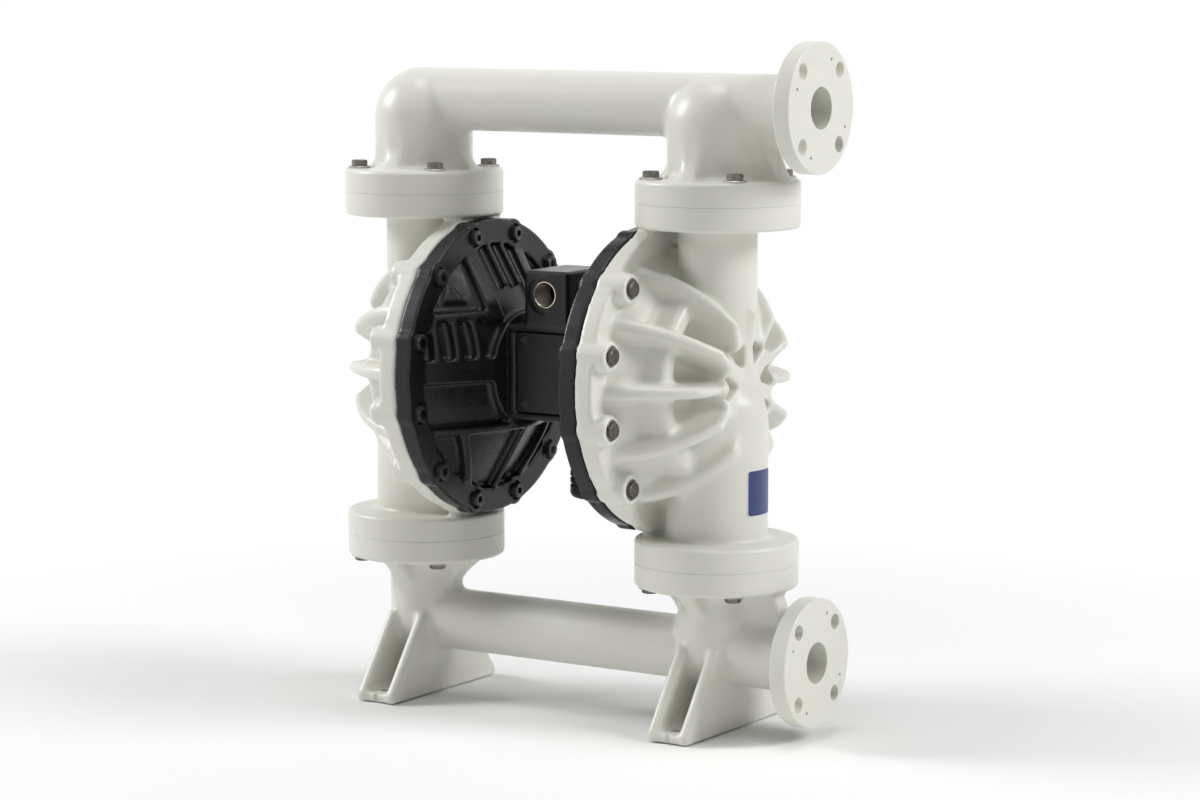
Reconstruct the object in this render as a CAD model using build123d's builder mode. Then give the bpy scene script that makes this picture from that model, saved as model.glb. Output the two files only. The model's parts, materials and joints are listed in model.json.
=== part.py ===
from build123d import *
from math import acos, asin, cos, degrees, radians, sin, sqrt
import os

os.makedirs("parts", exist_ok=True)

# Layout: X along the shaft, Y front to back, Z up from the floor
column_x = 210.8
inlet_axis_z = 92.7
lower_seam_z = 201.0
cover_axis_z = 413.5
upper_seam_z = 624.5
outlet_axis_z = 737.7
port_face_x = 348.0

# Clearances
running_gap = 0.05
seat_gap = 0.3
bolt_gap = 0.6
gasket_t = 1.0
end_gap = 1.0

# Joint discs between the manifolds and the fluid covers
joint_disc_r = 97.2
joint_disc_t = 28.5
joint_disc_round = 5.0
joint_bolt_circle_r = 80.4
joint_bolt_count = 4

# Manifold pipes, elbows and flanges
pipe_r = 38.0
port_bore_r = 24.5
elbow_r = 60.0
elbow_dome_z = 716.0
skirt_r = 71.0
skirt_h = 16.0
neck_r = 45.0
neck_flare_r = 70.0
neck_flare_h = 33.0
neck_flare_bow = 4.7
neck_bore_r = 30.0
flange_r = 76.2
flange_t = 21.0
flange_bolt_circle_r = 60.325
flange_bolt_count = 4
flange_hole_r = 9.5
flange_pin_hole_r = 2.0
flange_pin_depth = 8.0
flange_pin_angle = 67.5
flange_round = 1.5
flange_hub_r = 46.0
flange_hub_t = 14.0
pipe_pad_x = 222.0
pipe_pad_length = 62.0
pipe_pad_width = 18.0
pipe_pad_h = 1.2

# Feet
foot_length = 224.0
foot_toe_h = 10.0
foot_top_length = 104.0
foot_top_z = 104.0
foot_width = 57.0
foot_plate_t = 14.0
foot_plate_round = 4.0
foot_web_t = 12.0
foot_web_setback = 4.0
foot_bolt_pitch = 176.0
foot_bolt_hole_r = 7.0
foot_notch_r = 5.0

# Check valves
ball_r = 35.0
ball_lift = 14.0
seat_r = 46.0
seat_t = 13.0
seat_bore_r = 22.0
seat_cone_h = 10.0
seal_r = 48.4
seal_w = 5.0
seal_h = 4.0
cage_r = 46.0
cage_rib_t = 9.0
cage_slack = 0.8
cage_finger_r = 16.0
cage_stop_t = 9.0

# Cover rims
rim_r = 180.0
rim_plane_x = 127.0
rim_bolt_circle_r = 165.2
rim_bolt_angles = (15, 45, 135, 165, 195, 225, 315, 345)
rim_screw_angles = (75, 105, 255, 285)
rim_boss_r = 18.0

# Fluid covers
fluid_rim_t = 24.0
fluid_boss_h = 43.0
fluid_boss_bore_r = 12.0
fluid_boss_bore_h = 7.5
rim_screw_depth = 18.0
bowl_rim_r = 152.0
bowl_depth = 69.0
bowl_wall = 10.0
upper_column_r = 47.0
lower_column_r = 60.75
lower_column_top_z = 412.0
lower_column_round = 28.0
upper_bore_r = 30.0
upper_bore_bottom_z = 440.0
lower_bore_top_z = 372.0
rib_t = 16.0
rib_round = 7.0
rib_sphere_x = 130.0
rib_sphere_r = 160.0
rib_inner_r = 45.0
rib_hub_x = 258.0
rib_shoulder_r = 76.0
rib_angles = (0, 30, 60, 90, 120, 150, 180, 210, 240, 300, 330)
ring_rib_r = 112.0
ring_rib_t = 20.0
ring_rib_round = 6.0
ring_rib_x = 211.0
hub_r = 56.0
hub_x = 256.0
hub_round = 6.0
hub_pocket_depth = 20.0
hub_pocket_size = 13.0
hub_pocket_r = 40.0
hub_pocket_round = 2.0
hub_pocket_angles = (10, 68, 122, 180, 313)

# Air covers
air_rim_t = 22.0
air_hub_x = 57.0
air_hub_r = 70.0
air_cone_r = 150.0
air_rib_h = 11.0
air_wall = 8.0
air_band_y = 51.0
air_band_w = 22.0
air_band_low_z = 62.0
air_crossbar_z = 69.0
air_crossbar_w = 10.0
air_spine_y = 14.0
air_spine_w = 7.0
air_spine_count = 2
air_spine_low_z = 100.0
air_slant_y = 66.0
air_slant_z = 121.0
air_slant_w = 10.0
air_slant_length = 105.0
air_slant_angle = 28.5
air_passage_low_z = -10.0
air_passage_high_z = 19.0
air_post_w = 9.0
air_post_y = (83.0, 107.0, 131.0)
air_nut_bore_r = 12.5
air_nut_bore_h = 4.0
air_triangle_r = 16.0
air_triangle_h = 2.5
air_triangle_y = 94.0
air_triangle_z = 94.0

# Centre housing
housing_plate_t = 12.0
housing_front_y = -46.0
housing_back_y = 60.0
housing_low_z = 358.0
housing_high_z = 470.0
housing_core_y = -18.0
housing_round = 6.0
inlet_block_w = 62.0
inlet_block_front_y = -48.0
inlet_block_back_y = 44.0
inlet_block_top_z = 538.0
air_port_z = 509.5
air_port_r = 16.2
air_port_bore_r = 13.4
air_port_depth = 34.0
air_port_lip = 1.5
housing_screw_pitch_y = 68.0
housing_screw_pitch_z = 84.0
housing_screw_y = 1.0
housing_screw_r = 4.0
housing_screw_head_r = 6.5
housing_screw_head_h = 5.0
housing_screw_depth = 11.5

# Shaft, diaphragms and plates
shaft_r = 12.5
shaft_chamfer = 1.0
shaft_way = 1.0
shaft_bush_r = 15.5
shaft_bush_length = 20.0
shaft_bush_in = 3.0
shaft_seal_r = 18.0
shaft_end_x = 103.0
stroke = 24.0
stud_r = 7.0
stud_length = 30.0
plate_r = 68.0
plate_round = 3.5
air_plate_t = 9.7
fluid_plate_t = 19.0
fluid_plate_rise_r = 30.0
diaphragm_t = 4.0
diaphragm_rim_r = 156.0
diaphragm_bend_r = 142.0
diaphragm_hub_r = 76.0

# Pilot pins
pilot_offset_z = 40.0
pilot_pin_r = 4.0
pilot_chamfer = 0.8
pilot_bush_r = 8.0
pilot_bush_inner_x = 32.0
pilot_ratio = 0.2
pilot_pin_length = 59.5
pilot_pin_room = 8.0

# Air valve
valve_end_gap = 0.5
valve_margin_z = 7.0
valve_round = 5.0
valve_axis_y = -33.0
valve_bore_r = 8.0
spool_length = 56.0
spool_travel = 10.0
spool_waist_r = 5.0
spool_land = 12.0
valve_slide_length = 20.0
valve_slide_w = 10.0
valve_slide_room = 3.0
valve_slide_gap = 1.0
valve_plate_t = 3.0
valve_plate_length = 50.0
valve_plate_w = 24.0
valve_port_r = 3.0
valve_port_pitch = 13.0
valve_port_count = 3
valve_cap_t = 4.0
valve_cap_r = 11.0
valve_screw_pitch_x = 66.0
valve_screw_pitch_z = 78.0
valve_screw_r = 3.0
valve_screw_head_r = 5.5
valve_screw_head_h = 6.0
valve_screw_grip = 10.0

# Silencer and its boss behind the housing
muffler_y = 77.0
muffler_r = 36.0
muffler_h = 86.0
muffler_gap = 6.0
muffler_groove_w = 3.0
muffler_groove_h = 2.0
muffler_groove_count = 8
muffler_groove_pitch = 8.5
muffler_round = 7.0
muffler_neck_r = 16.0
muffler_thread_h = 14.0
exhaust_boss_r = 34.0
exhaust_boss_drop = 8.0
exhaust_boss_h = 80.0

# Fasteners
bolt_r = 5.0
joint_hex = 17.0
joint_head_h = 7.5
washer_r = 13.5
washer_t = 2.5
insert_r = 8.0
insert_length = 20.0
rim_hex = 15.0
rim_head_h = 6.0
rim_flange_r = 11.0
rim_flange_t = 2.5
nut_h = 8.0
cap_screw_head_r = 9.0
cap_screw_head_h = 10.0
cap_screw_hex = 8.0
cap_screw_chamfer = 1.0

# Rating plate
label_low_z = 261.5
label_h = 53.0
label_half_angle = 22.0
label_t = 0.8

# Values that follow from the ones above
cover_axis = Axis((0, 0, cover_axis_z), (1, 0, 0))
fluid_rim_x = rim_plane_x + fluid_rim_t
air_rim_x = rim_plane_x - air_rim_t
bowl_r = (bowl_rim_r**2 + bowl_depth**2) / (2 * bowl_depth)
bowl_x = fluid_rim_x + bowl_depth - bowl_r
cone_slope = (air_rim_x - air_hub_x) / (air_cone_r - air_hub_r)
chamber_hub_x = air_hub_x + air_rib_h
ball_seat_z = ball_r * sqrt(2) - seat_cone_h - seat_bore_r + seat_gap * sqrt(2)
ball_way_r = ball_r + cage_slack
cage_h = ball_seat_z + ball_lift + ball_way_r + cage_stop_t
bolt_hole_r = bolt_r + bolt_gap
exhaust_boss_low_z = housing_low_z - exhaust_boss_drop
muffler_low_z = exhaust_boss_low_z - muffler_gap - muffler_h


def cover_plane(x):
    """The YZ plane at x, centred on the shaft."""
    return Plane(origin=(x, 0, cover_axis_z), x_dir=(0, 1, 0), z_dir=(1, 0, 0))


def radial_plane(angle):
    """Plane holding the shaft axis: local x along the shaft, local y outwards."""
    level = Plane(origin=(0, 0, cover_axis_z), x_dir=(1, 0, 0), z_dir=(0, 0, 1))
    return level.rotated((angle, 0, 0))


def rim_places(angles):
    """Places on the rim's bolt circle, in the cover plane."""
    return [
        (rim_bolt_circle_r * cos(radians(angle)), rim_bolt_circle_r * sin(radians(angle)))
        for angle in angles
    ]


def write(part, label):
    part.label = label
    export_step(part, f"parts/{label}.step")


def write_pair(part, label):
    """Writes a piece of the right chamber and its mirror image for the left one."""
    write(part, "right_" + label)
    with BuildPart() as left:
        mirror(part, about=Plane.YZ)
    write(left.part, "left_" + label)


def cage_ribs(seam_z):
    """Guide ribs round a check ball, with fingers over it that stop its lift."""
    with BuildPart() as ribs:
        with BuildSketch(Plane.XY.offset(seam_z)):
            with Locations((column_x, 0)):
                Rectangle(2 * cage_r, cage_rib_t, rotation=45)
                Rectangle(2 * cage_r, cage_rib_t, rotation=135)
                Circle(cage_r, mode=Mode.INTERSECT)
                Circle(cage_finger_r, mode=Mode.SUBTRACT)
        extrude(amount=cage_h)
        with BuildSketch(Plane.XY.offset(seam_z)):
            with Locations((column_x, 0)):
                Circle(ball_way_r)
        extrude(amount=ball_seat_z + ball_lift, mode=Mode.SUBTRACT)
        with Locations((column_x, 0, seam_z + ball_seat_z + ball_lift)):
            Sphere(ball_way_r, mode=Mode.SUBTRACT)
    return ribs.part


def port_flange(axis_z):
    """Pipe flange with its bolt holes, small pin holes and the hub behind it."""
    back = Plane.YZ.offset(port_face_x - flange_t)
    face = Plane.YZ.offset(port_face_x)
    with BuildPart() as flange:
        with BuildSketch(back):
            with Locations((0, axis_z)):
                Circle(flange_r)
        extrude(amount=flange_t)
        fillet(flange.edges().filter_by(GeomType.CIRCLE), flange_round)
        with BuildSketch(Plane.YZ.offset(port_face_x - flange_t - flange_hub_t)):
            with Locations((0, axis_z)):
                Circle(pipe_r)
        with BuildSketch(back):
            with Locations((0, axis_z)):
                Circle(flange_hub_r)
        loft()
        with BuildSketch(face):
            with Locations((0, axis_z)):
                with PolarLocations(flange_bolt_circle_r, flange_bolt_count, 45):
                    Circle(flange_hole_r)
        extrude(amount=-flange_t, mode=Mode.SUBTRACT)
        with BuildSketch(face):
            with Locations((0, axis_z)):
                with PolarLocations(flange_bolt_circle_r, flange_bolt_count, flange_pin_angle):
                    Circle(flange_pin_hole_r)
        extrude(amount=-flange_pin_depth, mode=Mode.SUBTRACT)
    return flange.part


def bolt_reliefs(low_z, high_z):
    """Round clearances for the joint bolts' washers, cut into the elbow or neck."""
    with BuildPart() as reliefs:
        with BuildSketch(Plane.XY.offset(low_z)):
            for x in (-column_x, column_x):
                with Locations((x, 0)):
                    with PolarLocations(joint_bolt_circle_r, joint_bolt_count, 45):
                        Circle(washer_r + 2 * bolt_gap)
        extrude(amount=high_z - low_z)
    return reliefs.part


def bolt_holes(low_z, high_z, radius):
    with BuildPart() as holes:
        with BuildSketch(Plane.XY.offset(low_z)):
            for x in (-column_x, column_x):
                with Locations((x, 0)):
                    with PolarLocations(joint_bolt_circle_r, joint_bolt_count, 45):
                        Circle(radius)
        extrude(amount=high_z - low_z)
    return holes.part


# Outlet manifold
outlet_top_z = upper_seam_z + joint_disc_t
outlet_ribs = cage_ribs(upper_seam_z)

with BuildPart() as outlet_manifold:
    with BuildSketch(Plane.XY.offset(upper_seam_z)):
        with Locations((-column_x, 0), (column_x, 0)):
            Circle(joint_disc_r)
    extrude(amount=joint_disc_t)
    rims = outlet_manifold.edges().filter_by(GeomType.CIRCLE).group_by(Axis.Z)
    fillet(rims[-1], joint_disc_round)
    with BuildSketch(Plane.XY.offset(outlet_top_z)):
        with Locations((-column_x, 0), (column_x, 0)):
            Circle(elbow_r)
    extrude(amount=elbow_dome_z - outlet_top_z)
    with Locations((-column_x, 0, elbow_dome_z), (column_x, 0, elbow_dome_z)):
        Sphere(elbow_r)
    with Locations((-column_x, 0, outlet_top_z), (column_x, 0, outlet_top_z)):
        Cone(skirt_r, elbow_r, skirt_h, align=(Align.CENTER, Align.CENTER, Align.MIN))
    with BuildSketch(Plane.YZ.offset(-column_x)):
        with Locations((0, outlet_axis_z)):
            Circle(pipe_r)
    extrude(amount=column_x + port_face_x - flange_t)
    with BuildSketch(Plane.XY.offset(outlet_axis_z)):
        with Locations((pipe_pad_x, 0)):
            SlotOverall(pipe_pad_length, pipe_pad_width)
    extrude(amount=pipe_r + pipe_pad_h)
    add(bolt_reliefs(outlet_top_z, outlet_top_z + skirt_h), mode=Mode.SUBTRACT)
    add(bolt_holes(upper_seam_z, outlet_top_z, bolt_hole_r), mode=Mode.SUBTRACT)
    add(port_flange(outlet_axis_z))
    with BuildSketch(Plane.XY.offset(upper_seam_z)):
        with Locations((-column_x, 0), (column_x, 0)):
            Circle(cage_r)
    extrude(amount=elbow_dome_z - upper_seam_z, mode=Mode.SUBTRACT)
    with Locations((-column_x, 0, elbow_dome_z), (column_x, 0, elbow_dome_z)):
        Sphere(cage_r, mode=Mode.SUBTRACT)
    add(outlet_ribs)
    mirror(outlet_ribs, about=Plane.YZ)
    with BuildSketch(Plane.YZ.offset(-column_x)):
        with Locations((0, outlet_axis_z)):
            Circle(port_bore_r)
    extrude(amount=column_x + port_face_x, mode=Mode.SUBTRACT)
write(outlet_manifold.part, "outlet_manifold")

# Inlet manifold with its feet
inlet_disc_z = lower_seam_z - joint_disc_t
neck_top_z = inlet_disc_z
neck_flare_z = neck_top_z - neck_flare_h

with BuildPart() as foot:
    plate_inner_x = foot_width / 2 - foot_plate_t
    for x in (column_x - foot_width / 2, column_x + plate_inner_x):
        with BuildSketch(Plane.YZ.offset(x)):
            with BuildLine():
                Polyline(
                    (-foot_length / 2, 0),
                    (foot_length / 2, 0),
                    (foot_length / 2, foot_toe_h),
                    (foot_top_length / 2, foot_top_z),
                    (-foot_top_length / 2, foot_top_z),
                    (-foot_length / 2, foot_toe_h),
                    close=True,
                )
            make_face()
        extrude(amount=foot_plate_t)
    slopes = foot.edges().filter_by(Plane.YZ).filter_by(lambda e: e.center().Z > foot_toe_h / 4)
    fillet(slopes, foot_plate_round)
    with Locations((column_x, 0, 0)):
        web_length = foot_length - 2 * foot_web_setback
        Box(
            foot_width - foot_plate_t,
            web_length,
            foot_web_t,
            align=(Align.CENTER, Align.CENTER, Align.MIN),
        )
    for y in (-web_length / 2, web_length / 2):
        with Locations((column_x, y, 0)):
            Cylinder(foot_notch_r, 2 * foot_web_t, mode=Mode.SUBTRACT)
    for y in (-foot_bolt_pitch / 2, foot_bolt_pitch / 2):
        with Locations((column_x, y, 0)):
            Cylinder(foot_bolt_hole_r, 2 * foot_web_t, mode=Mode.SUBTRACT)

with BuildPart() as neck:
    with BuildSketch(Plane.XZ):
        with BuildLine():
            Line((column_x, inlet_axis_z), (column_x, neck_top_z))
            Line((column_x, neck_top_z), (column_x + neck_flare_r, neck_top_z))
            SagittaArc(
                (column_x + neck_flare_r, neck_top_z),
                (column_x + neck_r, neck_flare_z),
                -neck_flare_bow,
            )
            Line((column_x + neck_r, neck_flare_z), (column_x + neck_r, inlet_axis_z))
            CenterArc((column_x, inlet_axis_z), neck_r, 0, -90)
            Line((column_x, inlet_axis_z - neck_r), (column_x, inlet_axis_z))
        make_face()
    revolve(axis=Axis((column_x, 0, 0), (0, 0, 1)))

with BuildPart() as inlet_manifold:
    with BuildSketch(Plane.XY.offset(inlet_disc_z)):
        with Locations((-column_x, 0), (column_x, 0)):
            Circle(joint_disc_r)
    extrude(amount=joint_disc_t)
    rims = inlet_manifold.edges().filter_by(GeomType.CIRCLE).group_by(Axis.Z)
    fillet(rims[0], 2 * joint_disc_round)
    add(neck.part)
    mirror(neck.part, about=Plane.YZ)
    with BuildSketch(Plane.YZ.offset(-column_x)):
        with Locations((0, inlet_axis_z)):
            Circle(pipe_r)
    extrude(amount=column_x + port_face_x - flange_t)
    add(foot.part)
    mirror(foot.part, about=Plane.YZ)
    add(port_flange(inlet_axis_z))
    add(bolt_reliefs(neck_flare_z, neck_top_z), mode=Mode.SUBTRACT)
    add(bolt_holes(inlet_disc_z, lower_seam_z, bolt_hole_r), mode=Mode.SUBTRACT)
    with BuildSketch(Plane.XY.offset(inlet_axis_z)):
        with Locations((-column_x, 0), (column_x, 0)):
            Circle(neck_bore_r)
    extrude(amount=lower_seam_z - inlet_axis_z, mode=Mode.SUBTRACT)
    with Locations((-column_x, 0, inlet_axis_z), (column_x, 0, inlet_axis_z)):
        Sphere(neck_bore_r, mode=Mode.SUBTRACT)
    with BuildSketch(Plane.XY.offset(lower_seam_z)):
        with Locations((-column_x, 0), (column_x, 0)):
            Circle(seat_r)
    extrude(amount=-seat_t, mode=Mode.SUBTRACT)
    with BuildSketch(Plane.XY.offset(lower_seam_z)):
        with Locations((-column_x, 0), (column_x, 0)):
            Circle(seal_r + seal_w)
            Circle(seal_r, mode=Mode.SUBTRACT)
    extrude(amount=-seal_h, mode=Mode.SUBTRACT)
    with BuildSketch(Plane.YZ.offset(-column_x)):
        with Locations((0, inlet_axis_z)):
            Circle(port_bore_r)
    extrude(amount=column_x + port_face_x, mode=Mode.SUBTRACT)
write(inlet_manifold.part, "inlet_manifold")

# Valve seats, their seals and the check balls
for stage, seam_z in (("inlet", lower_seam_z), ("outlet", upper_seam_z)):
    with BuildPart() as valve_seat:
        with BuildSketch(Plane.XY.offset(seam_z)):
            with Locations((column_x, 0)):
                Circle(seat_r)
                Circle(seat_bore_r, mode=Mode.SUBTRACT)
        extrude(amount=-seat_t)
        with Locations((column_x, 0, seam_z)):
            Cone(
                seat_bore_r,
                seat_bore_r + seat_cone_h,
                seat_cone_h,
                align=(Align.CENTER, Align.CENTER, Align.MAX),
                mode=Mode.SUBTRACT,
            )
    write_pair(valve_seat.part, f"{stage}_valve_seat")
    with BuildPart() as check_ball:
        with Locations((column_x, 0, seam_z + ball_seat_z)):
            Sphere(ball_r)
    write_pair(check_ball.part, f"{stage}_check_ball")

with BuildPart() as seat_seals:
    for seam_z in (lower_seam_z, upper_seam_z):
        with BuildSketch(Plane.XY.offset(seam_z)):
            with Locations((-column_x, 0), (column_x, 0)):
                Circle(seal_r + seal_w)
                Circle(seal_r, mode=Mode.SUBTRACT)
        extrude(amount=-seal_h)
write(seat_seals.part, "seat_seals")

# Fluid cover
lower_disc_top_z = lower_seam_z + joint_disc_t
upper_disc_low_z = upper_seam_z - joint_disc_t
shoulder_angle = degrees(asin(rib_shoulder_r / rib_sphere_r))
foot_angle = degrees(acos((fluid_rim_x - rib_sphere_x) / rib_sphere_r))

with BuildPart() as cover_rib:
    with BuildSketch(radial_plane(0)):
        with BuildLine():
            crest = CenterArc(
                (rib_sphere_x, 0), rib_sphere_r, shoulder_angle, foot_angle - shoulder_angle
            )
            Polyline(
                crest @ 0,
                (rib_hub_x, rib_inner_r),
                (bowl_x + bowl_r - bowl_wall, rib_inner_r),
                (fluid_rim_x - fluid_rim_t / 2, bowl_rim_r),
                crest @ 1,
            )
        make_face()
    extrude(amount=rib_t / 2, both=True)
    crest_edges = cover_rib.edges().filter_by(GeomType.CIRCLE)
    fillet(crest_edges, rib_round)

with BuildPart() as ring_rib:
    with BuildSketch(cover_plane(fluid_rim_x)):
        Circle(ring_rib_r + ring_rib_t / 2)
        Circle(ring_rib_r - ring_rib_t / 2, mode=Mode.SUBTRACT)
    extrude(amount=ring_rib_x - fluid_rim_x)
    fillet(ring_rib.faces().sort_by(Axis.X)[-1].edges(), ring_rib_round)

with BuildPart() as cover_hub:
    with BuildSketch(cover_plane(fluid_rim_x)):
        Circle(hub_r)
    extrude(amount=hub_x - fluid_rim_x)
    fillet(cover_hub.faces().sort_by(Axis.X)[-1].edges(), hub_round)

with BuildPart() as fluid_cover:
    with BuildSketch(radial_plane(0)):
        with BuildLine():
            Line((rim_plane_x, 0), (rim_plane_x, rim_r))
            Line((rim_plane_x, rim_r), (fluid_rim_x, rim_r))
            Line((fluid_rim_x, rim_r), (fluid_rim_x, bowl_rim_r))
            bowl_angle = degrees(asin(bowl_rim_r / bowl_r))
            CenterArc((bowl_x, 0), bowl_r, bowl_angle, -bowl_angle)
            Line((bowl_x + bowl_r, 0), (rim_plane_x, 0))
        make_face()
    revolve(axis=cover_axis)
    with BuildSketch(cover_plane(rim_plane_x)):
        with Locations(*rim_places(rim_bolt_angles)):
            Circle(rim_boss_r)
    extrude(amount=fluid_boss_h)
    with BuildSketch(cover_plane(rim_plane_x)):
        with Locations(*rim_places(rim_screw_angles)):
            Circle(rim_boss_r)
    extrude(amount=fluid_rim_t)
    for angle in rib_angles:
        add(cover_rib.part.rotate(cover_axis, angle))
    add(ring_rib.part)
    add(cover_hub.part)
    with BuildSketch(Plane.XY.offset(cover_axis_z)):
        with Locations((column_x, 0)):
            Circle(upper_column_r)
    extrude(amount=upper_disc_low_z - cover_axis_z)
    with BuildSketch(Plane.XY.offset(lower_disc_top_z)):
        with Locations((column_x, 0)):
            Circle(lower_column_r)
    extrude(amount=lower_column_top_z - lower_column_round - lower_disc_top_z)
    with Locations((column_x, 0, lower_column_top_z - lower_column_round)):
        Cone(
            lower_column_r,
            lower_column_r - lower_column_round / 2,
            lower_column_round,
            align=(Align.CENTER, Align.CENTER, Align.MIN),
        )
    for low_z in (lower_seam_z, upper_disc_low_z):
        with BuildSketch(Plane.XY.offset(low_z)):
            with Locations((column_x, 0)):
                Circle(joint_disc_r)
        extrude(amount=joint_disc_t)
    with BuildSketch(cover_plane(rib_hub_x)) as pockets:
        for angle in hub_pocket_angles:
            with PolarLocations(hub_pocket_r, 1, angle):
                RegularPolygon(hub_pocket_size, 3, rotation=180)
        fillet(pockets.vertices(), hub_pocket_round)
    extrude(amount=-hub_pocket_depth, mode=Mode.SUBTRACT)
    with BuildSketch(radial_plane(0)):
        with BuildLine():
            chamber_r = bowl_r - bowl_wall
            chamber_angle = degrees(asin(diaphragm_bend_r / chamber_r))
            wall_arc = CenterArc((bowl_x, 0), chamber_r, chamber_angle, -chamber_angle)
            Polyline(
                wall_arc @ 1,
                (rim_plane_x, 0),
                (rim_plane_x, diaphragm_bend_r),
                wall_arc @ 0,
            )
        make_face()
    revolve(axis=cover_axis, mode=Mode.SUBTRACT)
    with BuildSketch(cover_plane(rim_plane_x)):
        Circle(diaphragm_rim_r)
    extrude(amount=diaphragm_t / 2, mode=Mode.SUBTRACT)
    with BuildSketch(Plane.XY.offset(lower_seam_z)):
        with Locations((column_x, 0)):
            Circle(cage_r)
    extrude(amount=lower_bore_top_z - lower_seam_z, mode=Mode.SUBTRACT)
    add(cage_ribs(lower_seam_z))
    with BuildSketch(Plane.XY.offset(upper_bore_bottom_z)):
        with Locations((column_x, 0)):
            Circle(upper_bore_r)
    extrude(amount=upper_seam_z - upper_bore_bottom_z, mode=Mode.SUBTRACT)
    with BuildSketch(Plane.XY.offset(upper_seam_z)):
        with Locations((column_x, 0)):
            Circle(seat_r)
    extrude(amount=-seat_t, mode=Mode.SUBTRACT)
    with BuildSketch(Plane.XY.offset(upper_seam_z)):
        with Locations((column_x, 0)):
            Circle(seal_r + seal_w)
            Circle(seal_r, mode=Mode.SUBTRACT)
    extrude(amount=-seal_h, mode=Mode.SUBTRACT)
    for seam_z, depth in ((upper_seam_z, -insert_length), (lower_seam_z, insert_length)):
        with BuildSketch(Plane.XY.offset(seam_z)):
            with Locations((column_x, 0)):
                with PolarLocations(joint_bolt_circle_r, joint_bolt_count, 45):
                    Circle(insert_r)
        extrude(amount=depth, mode=Mode.SUBTRACT)
    with BuildSketch(cover_plane(rim_plane_x)):
        with Locations(*rim_places(rim_bolt_angles)):
            Circle(bolt_hole_r)
    extrude(amount=fluid_boss_h, mode=Mode.SUBTRACT)
    with BuildSketch(cover_plane(rim_plane_x + fluid_boss_h)):
        with Locations(*rim_places(rim_bolt_angles)):
            Circle(fluid_boss_bore_r)
    extrude(amount=-fluid_boss_bore_h, mode=Mode.SUBTRACT)
    with BuildSketch(cover_plane(rim_plane_x)):
        with Locations(*rim_places(rim_screw_angles)):
            Circle(bolt_r)
    extrude(amount=rim_screw_depth, mode=Mode.SUBTRACT)
write_pair(fluid_cover.part, "fluid_cover")

# Air cover: a ribbed cone between the rim and the hub that carries the housing
chamber_hub_r = air_hub_r - air_wall
chamber_rim_x = chamber_hub_x + air_wall + cone_slope * (diaphragm_bend_r - air_hub_r)

with BuildPart() as air_ribs:
    with BuildSketch(cover_plane(air_hub_x)):
        band_h = air_cone_r - air_band_low_z
        with Locations((0, air_band_low_z + band_h / 2)):
            with GridLocations(2 * air_band_y, 0, 2, 1):
                Rectangle(air_band_w, band_h)
        bar_w = air_cone_r - air_band_y
        bar_y = air_band_y + bar_w / 2
        with Locations((-bar_y, air_crossbar_z), (bar_y, air_crossbar_z)):
            Rectangle(bar_w, air_crossbar_w)
        with Locations((0, -air_crossbar_z)):
            Rectangle(2 * air_cone_r, air_crossbar_w)
        spine_h = air_cone_r - air_spine_low_z
        with Locations((0, air_spine_low_z + spine_h / 2)):
            with GridLocations(2 * air_spine_y, 0, air_spine_count, 1):
                Rectangle(air_spine_w, spine_h)
        with Locations((0, -air_crossbar_z - (air_cone_r - air_crossbar_z) / 2)):
            Rectangle(air_spine_w, air_cone_r - air_crossbar_z)
        for side in (-1, 1):
            with Locations((side * air_slant_y, -air_slant_z)):
                Rectangle(air_slant_w, air_slant_length, rotation=-side * air_slant_angle)
        with Locations((0, (air_passage_low_z + air_passage_high_z) / 2)):
            Rectangle(2 * air_cone_r, air_passage_high_z - air_passage_low_z)
        post_h = air_crossbar_z - air_passage_high_z
        for y in air_post_y:
            with Locations((-y, air_crossbar_z - post_h / 2), (y, air_crossbar_z - post_h / 2)):
                Rectangle(air_post_w, post_h)
        Circle(air_cone_r, mode=Mode.INTERSECT)
    extrude(amount=air_rim_x - air_hub_x + air_rim_t / 2)
    with BuildSketch(radial_plane(0)):
        with BuildLine():
            Polyline(
                (air_hub_x - air_rib_h, 0),
                (air_hub_x - air_rib_h, rim_r),
                (air_rim_x, rim_r),
                (air_rim_x, air_cone_r),
                (air_hub_x, air_hub_r),
                (air_hub_x, 0),
                close=True,
            )
        make_face()
    revolve(axis=cover_axis, mode=Mode.SUBTRACT)

with BuildPart() as air_triangles:
    with BuildSketch(cover_plane(air_hub_x)):
        with Locations((-air_triangle_y, air_triangle_z), (air_triangle_y, air_triangle_z)):
            RegularPolygon(air_triangle_r, 3, rotation=90)
    extrude(amount=air_rim_x - air_hub_x + air_rim_t / 2)
    with BuildSketch(radial_plane(0)):
        with BuildLine():
            Polyline(
                (air_hub_x - air_triangle_h, 0),
                (air_hub_x - air_triangle_h, rim_r),
                (air_rim_x + air_rib_h - air_triangle_h, rim_r),
                (air_rim_x + air_rib_h - air_triangle_h, air_cone_r),
                (air_hub_x + air_rib_h - air_triangle_h, air_hub_r),
                (air_hub_x + air_rib_h - air_triangle_h, 0),
                close=True,
            )
        make_face()
    revolve(axis=cover_axis, mode=Mode.SUBTRACT)

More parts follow.
